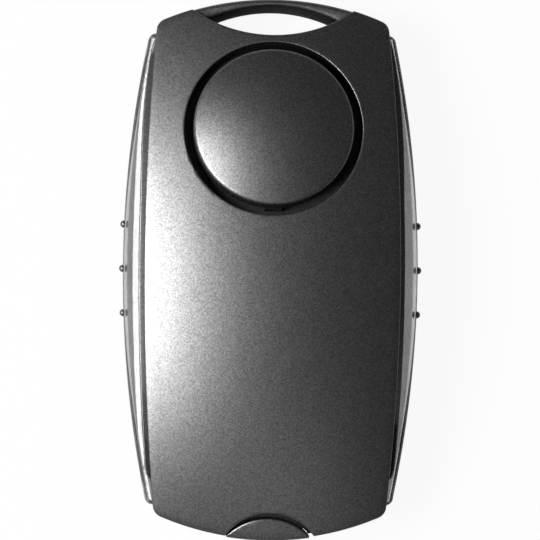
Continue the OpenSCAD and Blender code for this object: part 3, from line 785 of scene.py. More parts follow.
@dataclass(frozen=True)
class ButtonAxis:
    """Frame of the button, whose axis stands square on the crowned face."""

    centre: float = 24.8
    surface_rounds: int = 6

    @property
    def tilt(self) -> float:
        """Lean of the axis in radians."""
        return math.asin(self.centre / PLAN.long_round)

    @property
    def matrix(self) -> Matrix:
        """Matrix from the button's frame to the frame of the case."""
        height = float(PLAN.face_height(0.0, self.centre))
        return Matrix.Translation((0.0, self.centre, height)) @ Matrix.Rotation(-self.tilt, 4, "X")

    @property
    def direction(self) -> Vector:
        """Outward direction of the axis."""
        return self.matrix.to_3x3() @ Vector((0.0, 0.0, 1.0))

    def surface(self, x: np.ndarray, y: np.ndarray) -> np.ndarray:
        """Height of the case's face in the button's frame, found in rounds.

        Args:
            x: Places across in the button's frame.
            y: Places along in the button's frame.

        Returns:
            Heights in the button's frame.
        """
        matrix = np.array(self.matrix)
        height = np.zeros_like(x)
        for _ in range(self.surface_rounds):
            world = matrix[:3, :3] @ np.vstack([x, y, height]) + matrix[:3, 3:]
            height = height + PLAN.face_height(world[0], world[1]) - world[2]
        return height


AXIS = ButtonAxis()


@dataclass(frozen=True)
class RoundWall:
    """An upright round wall with a rounded edge where it meets a curved face.

    The rounding spreads outwards on a hole, where spread is 1, and draws in on a plug, where it is -1.
    """

    centre: Spot
    radius: float
    edge: float
    surface: Heights
    spread: int
    sides: int = MANY_SIDES
    steps: int = 5
    probe: float = 0.2
    overshoot: float = math.radians(25.0)

    def ring(self, depth: Numbers, height: Numbers) -> np.ndarray:
        """A ring at a depth behind the wall."""
        reach = self.radius + self.spread * np.broadcast_to(depth, self.sides)
        spots = np.array(self.centre) + circle(1.0, self.sides) * reach[:, None]
        return np.column_stack([spots, np.broadcast_to(height, self.sides)])

    def face(self, depth: float) -> np.ndarray:
        """Heights of the face at a depth behind the wall."""
        return self.surface(*self.ring(depth, 0.0)[:, :2].T)

    def edge_rings(self) -> list[np.ndarray]:
        """Rings over the rounding, from the wall to a last one that stands clear above the face.

        Returns:
            The rings.
        """
        edge = self.edge
        rise = self.face((1.0 + self.probe) * edge) - self.face((1.0 - self.probe) * edge)
        slope = rise / (2.0 * self.probe * edge)
        middle = self.face(edge) - edge * np.sqrt(1.0 + slope**2)
        last = np.arctan2(1.0, -slope) + self.overshoot
        rows = [(0.0, middle)]
        for share in np.linspace(0.0, 1.0, self.steps + 1)[1:]:
            turn = math.pi + (last - math.pi) * share
            rows.append((edge + edge * np.cos(turn), middle + edge * np.sin(turn)))
        clear = 2.0 * PAST
        depth, height = rows[-1]
        rows.append((depth + clear * np.sin(last), height - clear * np.cos(last)))
        return [self.ring(*row) for row in rows]

    def form(self, low: float, high: float = REACH) -> Form:
        """The cutter of a hole, or the bar of a plug.

        Args:
            low: Height of its lower end.
            high: Height of its upper end, or of the point over a plug's middle.

        Returns:
            The shape.
        """
        rings = [self.ring(0.0, low), *self.edge_rings()]
        if self.spread > 0:
            rings.append(level_ring(rings[-1][:, :2], high))
        return upright_stack(rings, low, high, self.centre)


class CrownTree(ShapeTree):
    """Lifts a flat plan to the crowned face: the rule of the case's main form."""

    def __init__(self) -> None:
        """Build the tree."""
        super().__init__("crowned_face")
        crown = self.size("Crown height")
        cross = self.size("Cross radius")
        along = self.size("Long radius")
        position = self.add("GeometryNodeInputPosition").outputs["Position"]
        place = self.add("ShaderNodeSeparateXYZ", {0: position}).outputs
        face = self.math("SUBTRACT", crown, self.arc_drop(cross, place["X"]))
        face = self.math("SUBTRACT", face, self.arc_drop(along, place["Y"]))
        height = self.math("MULTIPLY_ADD", face, self.attribute("follow"), place["Z"])
        spot = self.vector(X=place["X"], Y=place["Y"], Z=height)
        lifted = self.add("GeometryNodeSetPosition", {"Geometry": self.geometry, "Position": spot})
        self.close(lifted.outputs["Geometry"])

    def arc_drop(self, radius: Any, along: Any) -> Any:
        """Drop of a circle's arc at a distance from its top."""
        squares = [self.math("MULTIPLY", value, value) for value in (radius, along)]
        return self.math("SUBTRACT", radius, self.math("SQRT", self.math("SUBTRACT", *squares)))


class NubTree(ShapeTree):
    """Sets a round nub on every point."""

    def __init__(self) -> None:
        """Build the tree."""
        super().__init__("grip_nubs")
        ball = {"Segments": 32, "Rings": 20, "Radius": self.size("Nub radius")}
        self.close(self.on_points(self.add("GeometryNodeMeshUVSphere", ball).outputs["Mesh"]))


class HelixTree(ShapeTree):
    """Winds a round wire along a helix that rises from the origin."""

    def __init__(self) -> None:
        """Build the tree."""
        super().__init__("wound_wire")
        radius = self.size("Coil radius")
        wire = self.size("Wire radius")
        rise = self.size("Rise")
        helix = self.add("GeometryNodeCurveSpiral", {
            "Resolution": 72, "Rotations": self.size("Turns"), "Start Radius": radius, "End Radius": radius,
            "Height": rise})
        round_wire = self.add("GeometryNodeCurvePrimitiveCircle", {"Resolution": 14, "Radius": wire})
        tube = self.add("GeometryNodeCurveToMesh", {
            "Curve": helix.outputs["Curve"], "Profile Curve": round_wire.outputs["Curve"], "Fill Caps": True})
        self.close(tube.outputs["Mesh"])


class ScrewTree(ShapeTree):
    """Sets a cross-slotted screw on every point, turned by the point's own angles."""

    SHANK_SIDES = 24
    HEAD_SIDES = 48
    SLOT_SHARES = (1.2, 0.25)

    def __init__(self) -> None:
        """Build the tree, with the slot's length and width as shares of the head's radius."""
        super().__init__("screws")
        shank = self.size("Shank radius")
        length = self.size("Shank length")
        head = self.size("Head radius")
        height = self.size("Head height")
        body = self.rod(shank, length, self.math("MULTIPLY", length, 0.5), self.SHANK_SIDES)
        cap = self.rod(head, height, self.math("MULTIPLY", height, -0.5), self.HEAD_SIDES)
        long, wide = (self.math("MULTIPLY", head, share) for share in self.SLOT_SHARES)
        whole = self.union(body, cap)
        cross = self.union(self.slot(long, wide, height), self.slot(wide, long, height))
        meshes = {"Mesh 1": whole, "Mesh 2": cross}
        screw = self.add("GeometryNodeMeshBoolean", meshes, operation="DIFFERENCE")
        turn = self.attribute("turn", "FLOAT_VECTOR")
        rotation = self.add("FunctionNodeEulerToRotation", {"Euler": turn}).outputs["Rotation"]
        self.close(self.on_points(screw.outputs["Mesh"], Rotation=rotation))

    def union(self, *meshes: Any) -> Any:
        """Join meshes and return the socket."""
        return self.add("GeometryNodeMeshBoolean", {"Mesh": list(meshes)}, operation="UNION").outputs["Mesh"]

    def lifted(self, mesh: Any, height: Any) -> Any:
        """Lift a mesh and return its socket."""
        inputs = {"Geometry": mesh, "Translation": self.vector(Z=height)}
        return self.add("GeometryNodeTransform", inputs).outputs["Geometry"]

    def rod(self, radius: Any, length: Any, middle: Any, sides: int) -> Any:
        """A round rod with its middle at a height."""
        rod = self.add("GeometryNodeMeshCylinder", {"Vertices": sides, "Radius": radius, "Depth": length})
        return self.lifted(rod.outputs["Mesh"], middle)

    def slot(self, length: Any, width: Any, head_height: Any) -> Any:
        """One bar of the cross slot."""
        bar = self.add("GeometryNodeMeshCube", {"Size": self.vector(X=length, Y=width, Z=head_height)})
        return self.lifted(bar.outputs["Mesh"], self.math("MULTIPLY", head_height, -1.0))


class Workshop:
    """The finished materials by slot, and the trees that shape pieces."""

    def __init__(self) -> None:
        """Build every finish and every tree once."""
        self.materials = {finish.slot: finish.build() for finish in FINISHES}
        self.crown = CrownTree()
        self.nubs = NubTree()
        self.helix = HelixTree()
        self.screws = ScrewTree()

    def dress(self, piece: bpy.types.Object, slot: Slot) -> None:
        """Give a piece the material of a slot.

        Args:
            piece: The mesh object.
            slot: The record's slot.
        """
        piece.data.materials.clear()
        piece.data.materials.append(self.materials[slot])


@dataclass(frozen=True)
class SoftEdge:
    """A shoulder that bends down towards the wall and ends in a small rounded corner."""

    width: float = 1.3
    bend: float = 9.0
    corner: float = 0.18
    corner_steps: int = 6
    bend_steps: int = 8

    def depth(self, inset: float) -> float:
        """Drop of the shoulder below the face."""
        return self.bend - math.sqrt(self.bend**2 - (self.width - inset) ** 2)

    def profile(self) -> list[Spot]:
        """Insets and drops from the wall to the face.

        Returns:
            The points of the profile.
        """
        slope = math.asin((self.width - self.corner) / self.bend)
        centre = self.depth(self.corner) + self.corner / math.cos(slope)
        turns = np.linspace(0.0, math.pi / 2 - slope, self.corner_steps + 1)
        rows = [(self.corner * (1.0 - math.cos(turn)), centre - self.corner * math.sin(turn))
                for turn in turns]
        insets = np.linspace(self.corner, self.width, self.bend_steps + 1)
        return rows + [(float(inset), self.depth(float(inset))) for inset in insets]


@dataclass
class CrownedStack:
    """Rings of the case's outline, some level and some on the crowned face, closed to one shape."""

    shop: Workshop
    rings: list[np.ndarray] = field(default_factory=list)
    follow: list[float] = field(default_factory=list)

    def level(self, inset: float, height: float) -> None:
        """Add a level ring."""
        self.rings.append(PLAN.level(inset, height))
        self.follow.append(0.0)

    def on_face(self, inset: float, drop: float, shrink: float = 1.0) -> None:
        """Add a ring that is drawn in and lies a drop below the face."""
        self.rings.append(level_ring(PLAN.outline(inset, shrink), -drop))
        self.follow.append(1.0)

    def rounded_edge(self, inset: float, radius: float, drop: float, steps: int) -> None:
        """Add the rings of a rounded edge, from the wall to the face.

        Args:
            inset: How far the wall is drawn in.
            radius: Radius of the rounding.
            drop: How far the face lies below the case's face.
            steps: Number of steps.
        """
        for turn in quarter_turn(steps):
            self.on_face(inset + radius * (1.0 - math.cos(turn)), drop + radius * (1.0 - math.sin(turn)))

    def soft_edge(self, edge: SoftEdge, drop: float) -> None:
        """Add the rings of a soft shoulder, from its corner at the wall to a face below the case's."""
        for inset, depth in edge.profile():
            self.on_face(inset, drop + depth)

    def middle(self, inset: float, drop: float, count: int) -> None:
        """Add rings over the face, from its edge towards its middle."""
        for shrink in np.linspace(1.0, 0.0, count + 1)[1:-1]:
            self.on_face(inset, drop, float(shrink))

    def close(self, first_height: float, first_follow: float, last_drop: float) -> Form:
        """Close the rings with a tip at each end and lift them to the face.

        Args:
            first_height: Height of the first tip, over the face where it follows the face.
            first_follow: One where the first tip follows the face, zero where it is level.
            last_drop: Drop of the last tip below the face.

        Returns:
            The shape.
        """
        mesh = upright_stack(self.rings, first_height, -last_drop).discard()
        weights = [*np.repeat(self.follow, len(self.rings[0])), first_follow, 1.0]
        attribute = mesh.attributes.new("follow", "FLOAT", "POINT")
        attribute.data.foreach_set("value", np.array(weights, np.float32))
        lifted = self.shop.crown.run(mesh, {
            "Crown height": PLAN.crown, "Cross radius": PLAN.cross_round, "Long radius": PLAN.long_round,
            "Material": self.shop.materials[Slot.CASE_PAINT]})
        attributes = lifted.object.data.attributes
        attributes.remove(attributes["follow"])
        return lifted


@dataclass
class Eyelet:
    """Cuts of the lanyard eyelet: the scooped edge and the opening in front of the bar."""

    scoop_low: float = 41.25
    scoop_round: float = 24.4
    scoop_edge: float = 0.3
    bar_inner: float = 46.75
    bar_inner_round: float = 26.4
    bar_inner_edge: float = 0.7
    bar_inner_turn: float = 110.0
    bar_inner_steps: int = 6
    bar_draft: float = 0.45
    bar_height: float = 9.5
    sides: int = 512

    @property
    def scoop_place(self) -> Spot:
        """Place of the scoop's axis."""
        return (0.0, self.scoop_low + self.scoop_round)

    def scoop(self, extra: float, low: float, high: float) -> Form:
        """The scoop's round form between two heights, larger than its edge by some extra."""
        return disc(self.scoop_place, self.scoop_round + extra, low, high, self.sides)

    def face_cut(self) -> Form:
        """The scoop's cut through the front face, with a rounded edge."""
        wall = RoundWall(self.scoop_place, self.scoop_round, self.scoop_edge, PLAN.face_height, 1, self.sides)
        return wall.form(0.0)

    def opening(self) -> Form:
        """The opening between the scooped edge and the bar, with a rounded front edge on the bar.

        Returns:
            The cutter.
        """
        edge = self.bar_inner_edge
        turned = arc((self.bar_inner_round + edge, self.bar_height - edge), edge, 180.0, self.bar_inner_turn,
                     self.bar_inner_steps)
        last_x, last_z = turned[-1]
        slope = math.tan(math.radians(self.bar_inner_turn - 90.0))
        profile = [(0.0, -PAST), (self.bar_inner_round - self.bar_draft, -PAST), *turned,
                   (last_x + PAST, last_z + PAST * slope), (last_x + PAST, REACH), (0.0, REACH)]
        place = Matrix.Translation((0.0, self.bar_inner - self.bar_inner_round, 0.0))
        return revolve(profile, self.sides).move(place).keep(self.scoop(0.0, -2.0 * PAST, REACH + PAST))


@dataclass
class CaseFittings:
    """Screws, bosses and cuts that both shells share."""

    screw_places: tuple[Spot, ...] = ((15.3, 39.3), (15.3, -38.5))
    boss_round: float = 2.6
    pilot: float = 1.0
    pilot_high: float = 9.3
    post: float = 3.6
    post_round: float = 3.2
    seat: float = 2.0
    counterbore: float = 2.1
    passage: float = 1.15
    notch_top: float = 43.1
    notch_round: float = 9.55
    notch_sides: int = 128
    pull_gap: float = 0.1
    tunnel_half_width: float = 7.45
    tunnel_high: float = 9.0
    tunnel_end: float = 37.3
    slot_inner: float = 18.15
    slot_half_length: float = 42.05

    @property
    def notch_place(self) -> Spot:
        """Place of the notch's axis."""
        return (0.0, -(self.notch_top + self.notch_round))

    def screws(self) -> list[Spot]:
        """Places of the four case screws."""
        return both_sides(self.screw_places)

    def notch(self, extra: float, low: float, high: float) -> Form:
        """The round form of the pull's notch, larger by some extra."""
        return disc(self.notch_place, self.notch_round + extra, low, high, self.notch_sides)

    def tunnel(self, low: float, high: float) -> Form:
        """The tray's tunnel between two heights."""
        half = self.tunnel_half_width
        return block((-half, -REACH, low), (half, -self.tunnel_end, high))

    def beside(self, side: Side, span: Spot, low: float, high: float) -> Form:
        """A block at a side, from the inner face of the window's slot outwards."""
        return block((side.value * self.slot_inner, span[0], low), (side.value * REACH, span[1], high))

    def window_slots(self, low: float, high: float) -> list[Form]:
        """Gaps in the side walls for the windows between two heights."""
        span = (-self.slot_half_length, self.slot_half_length)
        return [self.beside(side, span, low, high) for side in (Side.RIGHT, Side.LEFT)]


@dataclass
class WellEars:
    """Screw ears under the well and the board's screws, in the button's frame."""

    radius: float = 18.6
    ear_round: float = 1.9
    side_x: float = 16.1
    low_angle: float = 225.0
    well_low: float = -6.9
    ear_low: float = -8.1
    board_low: float = -12.8
    board_top: float = -11.6
    standoffs: tuple[Spot, ...] = ((13.0, 2.0),)
    bosses: tuple[Spot, ...] = ((12.0, -22.5),)
    boss_round: float = 2.0
    pilot: float = 0.9
    pilot_spare: float = 0.3
    shank_length: float = 4.2

    def places(self) -> list[Spot]:
        """Places of the four ears.

        Returns:
            The places.
        """
        side = math.acos(self.side_x / self.radius)
        low = math.radians(self.low_angle)
        return [(self.radius * math.cos(turn), self.radius * math.sin(turn))
                for turn in (side, math.pi - side, low, math.pi - low)]


@dataclass
class SideLedge:
    """A ledge along the front shell, over a window, which widens upwards and leans in at the lower end."""

    low: float = 9.15
    drop: float = 2.6
    root: float = 0.6
    reaches: Spot = (0.95, 1.2)
    widening: Spot = (12.0, 22.0)
    span: Spot = (-37.5, 41.0)
    fades: Spot = (3.0, 15.0)
    least: float = 0.6
    edge: float = 0.25
    edge_steps: int = 6
    leans: Spot = (0.45, 0.0)
    leaning: Spot = (-30.0, -20.0)
    stations: int = 151

    def section(self, y: float) -> np.ndarray:
        """Section of the right side's ledge.

        Args:
            y: Place along.

        Returns:
            Points of the section.
        """
        side = PLAN.side_edge(y)
        past_low = (self.span[0] + self.fades[0] - y) / self.fades[0]
        past_high = (y - self.span[1] + self.fades[1]) / self.fades[1]
        past_end = min(max(past_low, past_high, 0.0), 1.0)
        outer = side + float(np.interp(y, self.widening, self.reaches)) * math.sqrt(1.0 - past_end**2)
        inner = side - self.root
        top = max(float(PLAN.face_height(side, y)) - self.drop, self.low + self.least)
        root_top = top - float(np.interp(y, self.leaning, self.leans))
        turned = arc((outer - self.edge, top - self.edge), self.edge, 0.0, 90.0, self.edge_steps)
        return section_at(y, [(inner, self.low), (outer, self.low), *turned,
                              (side, root_top), (inner, root_top)])

    def form(self, side: Side) -> Form:
        """The ledge of a side."""
        places = np.linspace(*self.span, self.stations)
        return sweep([self.section(float(y)) for y in places]).on_side(side)


@dataclass
class FrontShell:
    """The crowned front half of the case with its button bore, scoop, notch and ledges."""

    eyelet: Eyelet
    fittings: CaseFittings
    ears: WellEars
    ledge: SideLedge = field(default_factory=SideLedge)
    face_edge: SoftEdge = SoftEdge()
    hole_round: float = 15.65
    hole_edge: float = 0.18
    collar_wall: float = 1.2
    collar_low: float = -6.7
    collar_sides: int = 192
    above_face: float = 8.0
    front_wall: float = 1.7
    inner_edge: float = 0.4
    core_base: float = 1.9
    core_inset: float = 0.7
    core_edge: float = 0.8
    core_edge_steps: int = 4
    notch_edge: float = 0.3
    notch_wall: float = 1.2
    notch_wall_low: float = 9.2
    slot_high: float = 9.05
    outer_rings: int = 64
    inner_rings: int = 12

    def skin(self, shop: Workshop) -> Form:
        """The hollow crowned skin.

        Args:
            shop: Materials and trees.

        Returns:
            The skin.
        """
        stack = CrownedStack(shop)
        wall = PLAN.side_wall
        for shrink in np.linspace(0.0, 1.0, self.inner_rings + 1)[1:]:
            stack.on_face(wall + self.inner_edge, self.front_wall, float(shrink))
        stack.on_face(wall, self.front_wall + self.inner_edge)
        stack.level(wall, PLAN.parting)
        stack.level(0.0, PLAN.parting)
        stack.soft_edge(self.face_edge, 0.0)
        stack.middle(self.face_edge.width, 0.0, self.outer_rings)
        return stack.close(-self.front_wall, 1.0, 0.0)

    def core(self, shop: Workshop) -> Form:
        """The form that holds the ribs and bosses, part of the way into the skin.

        Args:
            shop: Materials and trees.

        Returns:
            The form.
        """
        stack = CrownedStack(shop)
        stack.level(self.core_inset, self.core_base)
        stack.rounded_edge(self.core_inset, self.core_edge, self.core_inset, self.core_edge_steps)
        stack.middle(self.core_inset + self.core_edge, self.core_inset, self.inner_rings)
        return stack.close(self.core_base, 0.0, self.core_inset)

    def inside(self, shop: Workshop) -> Form:
        """Ribs, collar and bosses behind the skin.

        Args:
            shop: Materials and trees.

        Returns:
            The form.
        """
        ears, fittings, high, lean = self.ears, self.fittings, self.above_face, AXIS.matrix
        collar = disc(ORIGIN, self.hole_round + self.collar_wall, self.collar_low, high, self.collar_sides)
        parts = self.eyelet.scoop(PLAN.side_wall, PLAN.parting, REACH)
        parts.join(fittings.notch(self.notch_wall, self.notch_wall_low, REACH), collar.move(lean),
                   *discs(ears.places(), ears.ear_round, ears.well_low, high, matrix=lean),
                   *discs(both_sides(ears.bosses), ears.boss_round, ears.board_top, high, matrix=lean),
                   *discs(fittings.screws(), fittings.boss_round, fittings.post, REACH))
        return parts.keep(self.core(shop))

    def pilots(self) -> list[Form]:
        """The pilot holes of the screws in ears and bosses.

        Returns:
            The cutters.
        """
        ears, fittings, lean = self.ears, self.fittings, AXIS.matrix
        ear_top = ears.ear_low + ears.shank_length + ears.pilot_spare
        boss_top = ears.board_top + ears.shank_length
        return [*discs(ears.places(), ears.pilot, ears.well_low - PAST, ear_top, FEW_SIDES, lean),
                *discs(both_sides(ears.bosses), ears.pilot, ears.board_top - PAST, boss_top, FEW_SIDES, lean),
                *discs(fittings.screws(), fittings.pilot, 0.0, fittings.pilot_high, FEW_SIDES)]

    def build(self, shop: Workshop) -> bpy.types.Object:
        """Make the shell.

        Args:
            shop: Materials and trees.

        Returns:
            The shell's piece.
        """
        fittings = self.fittings
        notch = RoundWall(fittings.notch_place, fittings.notch_round, self.notch_edge, PLAN.face_height, 1)
        bore = RoundWall(ORIGIN, self.hole_round, self.hole_edge, AXIS.surface, 1)
        shell = self.skin(shop).join(self.inside(shop), *(self.ledge.form(side) for side in Side))
        shell.remove(self.eyelet.face_cut(), notch.form(0.0), fittings.tunnel(0.0, fittings.tunnel_high),
                     *fittings.window_slots(0.0, self.slot_high),
                     bore.form(self.ears.well_low - OVERLAP, self.above_face).move(AXIS.matrix),
                     *self.pilots())
        return shell.seat(shop, "front_shell", "painted", Slot.CASE_PAINT)


@dataclass
class BackShell:
    """The flat back half of the case with the lanyard bar, screw posts and tray guides."""

    eyelet: Eyelet
    fittings: CaseFittings
    drawer: "BatteryDrawer"
    back_wall: float = 1.8
    back_edge: float = 1.5
    flat_rim: float = 0.25
    edge_steps: int = 8
    bar_edge: float = 0.8
    bar_gap: float = 0.15
    guide_thick: float = 1.5
    guide_from: float = -44.2
    guide_to: float = -4.2
    guide_high: float = 9.6
    carrier_screw: Spot = (10.45, -22.0)
    carrier_boss: float = 1.9
    carrier_pilot: float = 0.9
    carrier_pilot_depth: float = 4.2
    carrier_thick: float = 1.2
    end_post_half_width: float = 4.0
    end_post_from: float = -3.7
    end_post_thick: float = 1.5
    end_post_high: float = 8.0
    slot_low: float = 2.75
    sill_half_width: float = 24.85
    sill_round: float = 200.0
    sill_sides: int = 1024
    sill_spans: tuple[Spot, ...] = ((-38.0, -27.0), (33.0, 38.0))
    sill_low: float = 0.9
    sill_high: float = 2.65

    def edge_rings(self) -> list[np.ndarray]:
        """Rings over the rounded back edge, with one more just inside it that keeps the flat back plain.

        Returns:
            The rings.
        """
        radius = self.back_edge
        return [PLAN.level(radius + self.flat_rim, 0.0),
                *(PLAN.level(radius * (1.0 - math.sin(turn)), radius * (1.0 - math.cos(turn)))
                  for turn in quarter_turn(self.edge_steps))]

    def pan(self) -> Form:
        """The shallow pan of the back.

        Returns:
            The pan.
        """
        walls = ((0.0, PLAN.parting), (PLAN.side_wall, PLAN.parting), (PLAN.side_wall, self.back_wall))
        rings = [*self.edge_rings(), *(PLAN.level(*wall) for wall in walls)]
        return upright_stack(rings, 0.0, self.back_wall)

    def bar(self) -> Form:
        """The lanyard bar with its rounded outer edge.

        Returns:
            The bar, not yet opened.
        """
        edge, high = self.bar_edge, self.eyelet.bar_height
        rings = [*self.edge_rings(),
                 *(PLAN.level(edge * (1.0 - math.cos(turn)), high - edge * (1.0 - math.sin(turn)))
                   for turn in quarter_turn(self.edge_steps)),
                 PLAN.level(edge + self.flat_rim, high)]
        low_part = self.eyelet.scoop(PLAN.side_wall, 0.0, PLAN.parting)
        high_part = self.eyelet.scoop(-self.bar_gap, PLAN.parting - OVERLAP, high + PAST)
        return upright_stack(rings, 0.0, high).keep(low_part.join(high_part))

    def sill(self, side: Side, span: Spot) -> Form:
        """A slim sill under one end of a window.

        Args:
            side: Side of the case.
            span: Where it starts and ends along the case.

        Returns:
            The sill.
        """
        centre = (side.value * (self.sill_half_width - self.sill_round), 0.0)
        strip = disc(centre, self.sill_round, self.sill_low, self.sill_high, self.sill_sides)
        return strip.keep(self.fittings.beside(side, span, 0.0, REACH))

    def supports(self) -> list[Form]:
        """The sills, screw posts, tray guides, carrier bosses and end post.

        Returns:
            The forms that stand on the pan.
        """
        fittings, floor, half = self.fittings, self.back_wall - OVERLAP, self.end_post_half_width
        inner = fittings.tunnel_half_width
        outer = inner + self.guide_thick
        guides = [block((sign * inner, self.guide_from, floor),
                        (sign * outer, self.guide_to, self.guide_high)) for sign in (1, -1)]
        end_post = block((-half, self.end_post_from, floor),
                         (half, self.end_post_from + self.end_post_thick, self.end_post_high))
        return [*(self.sill(side, span) for side in Side for span in self.sill_spans),
                *discs(fittings.screws(), fittings.post_round, floor, fittings.post), *guides,
                *discs(both_sides([self.carrier_screw]), self.carrier_boss, floor, self.guide_high), end_post]

    def screw_holes(self) -> list[Form]:
        """The counterbores and passages of the case screws and the pilot holes of the carrier's.

        Returns:
            The cutters.
        """
        fittings, screws, high = self.fittings, self.fittings.screws(), self.guide_high
        return [*discs(screws, fittings.counterbore, -PAST, fittings.seat),
                *discs(screws, fittings.passage, 0.0, fittings.post + PAST, FEW_SIDES),
                *discs(both_sides([self.carrier_screw]), self.carrier_pilot, high - self.carrier_pilot_depth,
                       high + PAST, FEW_SIDES)]

    def build(self, shop: Workshop) -> bpy.types.Object:
        """Make the shell.

        Args:
            shop: Materials and trees.

        Returns:
            The shell's piece.
        """
        fittings, wall = self.fittings, self.back_wall
        shell = self.pan().join(self.bar(), *self.supports())
        shell.remove(self.eyelet.opening(), fittings.notch(0.0, wall, REACH),
                     self.drawer.pull_outline(fittings.pull_gap, -PAST, wall + OVERLAP),
                     fittings.tunnel(wall, REACH), *fittings.window_slots(self.slot_low, REACH),
                     *self.screw_holes())
        return shell.seat(shop, "back_shell", "painted", Slot.CASE_PAINT)


@dataclass
class SideWindow:
    """A clear light bar in a side of the case, which bulges like a lens, with grip nubs."""

    side: Side
    half_width: float = 26.35
    plan_round: float = 200.0
    half_length: float = 42.0
    low: float = 2.8
    high: float = 9.0
    bulge_half_height: float = 2.9
    least_bulge: float = 1.6
    least_half_height: float = 1.3
    least_hollow: float = 0.4
    wall: float = 0.8
    end_round: float = 1.5
    inner_limit: float = 18.2
    flange_thick: float = 1.2
    flange_lip: float = 0.8
    flange_half_length: float = 35.0
    flange_stations: int = 61
    nub_round: float = 0.648
    nub_pitch: float = 7.9
    nub_count: int = 3
    stations: int = 141
    arc_steps: int = 12

    @property
    def middle(self) -> float:
        """Height of the window's middle."""
        return (self.high + self.low) / 2.0

    def outer(self, y: float) -> float:
        """Place across of the outer face."""
        return self.half_width - self.plan_round + math.sqrt(self.plan_round**2 - y**2)

    def inner(self, y: float) -> float:
        """Place across of the inner face."""
        return max(PLAN.side_edge(y, PLAN.side_wall + SEAT_GAP + self.flange_thick), self.inner_limit)

    def rounded_outer(self, y: float) -> float:
        """Place across of the outer face, with its rounded ends.

        Args:
            y: Place along.

        Returns:
            The place across.
        """
        end_y = self.half_length - self.end_round
        past_end = abs(y) - end_y
        if past_end <= 0.0:
            return self.outer(y)
        bend = math.sqrt(max(self.end_round**2 - past_end**2, 0.0))
        return self.outer(end_y) - self.end_round + bend

    def section(self, y: float, inset: float, root: float) -> np.ndarray:
        """The bulged section at a place along.

        Args:
            y: Place along.
            inset: How far the section is drawn in from the outer face.
            root: How far it reaches inwards past the window's inner face.

        Returns:
            Points of the section.
        """
        inner = self.inner(y) - root
        most = self.outer(0.0) - PLAN.side_edge(0.0)
        proud = max(self.outer(y) - PLAN.side_edge(y), self.least_bulge)
        bulge = max(proud - inset, self.least_hollow)
        arch = max(self.bulge_half_height * (proud / most) ** 2, self.least_half_height)
        bulge_high = max(arch - inset, self.least_hollow)
        base = self.rounded_outer(y) - inset - bulge
        half_height = (self.high - self.low) / 2.0 - inset
        low, high = self.middle - half_height, self.middle + half_height
        turns = np.linspace(-math.pi / 2, math.pi / 2, 2 * self.arc_steps + 1)
        bulged = [(base + bulge * math.cos(turn), self.middle + bulge_high * math.sin(turn))
                  for turn in turns]
        return section_at(y, [(inner, low), (base, low), *bulged, (base, high), (inner, high)])

    def bulged_bar(self, inset: float, root: float) -> Form:
        """The bulged bar, drawn in from its outer face, with its sections closer together at the ends.

        Args:
            inset: How far it is drawn in.
            root: How far it reaches inwards past the window's inner face.

        Returns:
            The bar.
        """
        turns = np.linspace(-math.pi / 2, math.pi / 2, self.stations)
        half_length = self.half_length - inset
        return sweep([self.section(half_length * math.sin(turn), inset, root) for turn in turns])

    def flange_section(self, y: float) -> np.ndarray:
        """The flange's section at a place along.

        Args:
            y: Place along.

        Returns:
            Points of the section.
        """
        inner, outer = self.inner(y), PLAN.side_edge(y, PLAN.side_wall + SEAT_GAP)
        low, high = self.low - self.flange_lip, self.high + self.flange_lip
        return section_at(y, [(inner, low), (outer, low), (outer, high), (inner, high)])

    def flange(self) -> Form:
        """The flange behind the side wall."""
        places = np.linspace(-self.flange_half_length, self.flange_half_length, self.flange_stations)
        return sweep([self.flange_section(float(y)) for y in places])

    def nubs(self, shop: Workshop) -> Form:
        """The grip nubs as one form.

        Args:
            shop: Materials and trees.

        Returns:
            The nubs.
        """
        along = [(i - (self.nub_count - 1) / 2.0) * self.nub_pitch for i in range(self.nub_count)]
        points = plain_mesh("points", [(self.outer(y), y, self.middle) for y in along])
        sizes = {"Nub radius": self.nub_round, "Material": shop.materials[Slot.CASE_PAINT]}
        return shop.nubs.run(points, sizes)

    def build(self, shop: Workshop) -> list[bpy.types.Object]:
        """Make the window.

        Args:
            shop: Materials and trees.

        Returns:
            The clear bar and its painted nubs.
        """
        bar = self.bulged_bar(0.0, 0.0).join(self.flange()).remove(self.bulged_bar(self.wall, PAST))
        name = f"{self.side.name.lower()}_window"
        parts = ((bar, "clear", Slot.CLEAR_WINDOW), (self.nubs(shop), "nubs", Slot.CASE_PAINT))
        return [form.on_side(self.side).seat(shop, name, ending, slot) for form, ending, slot in parts]


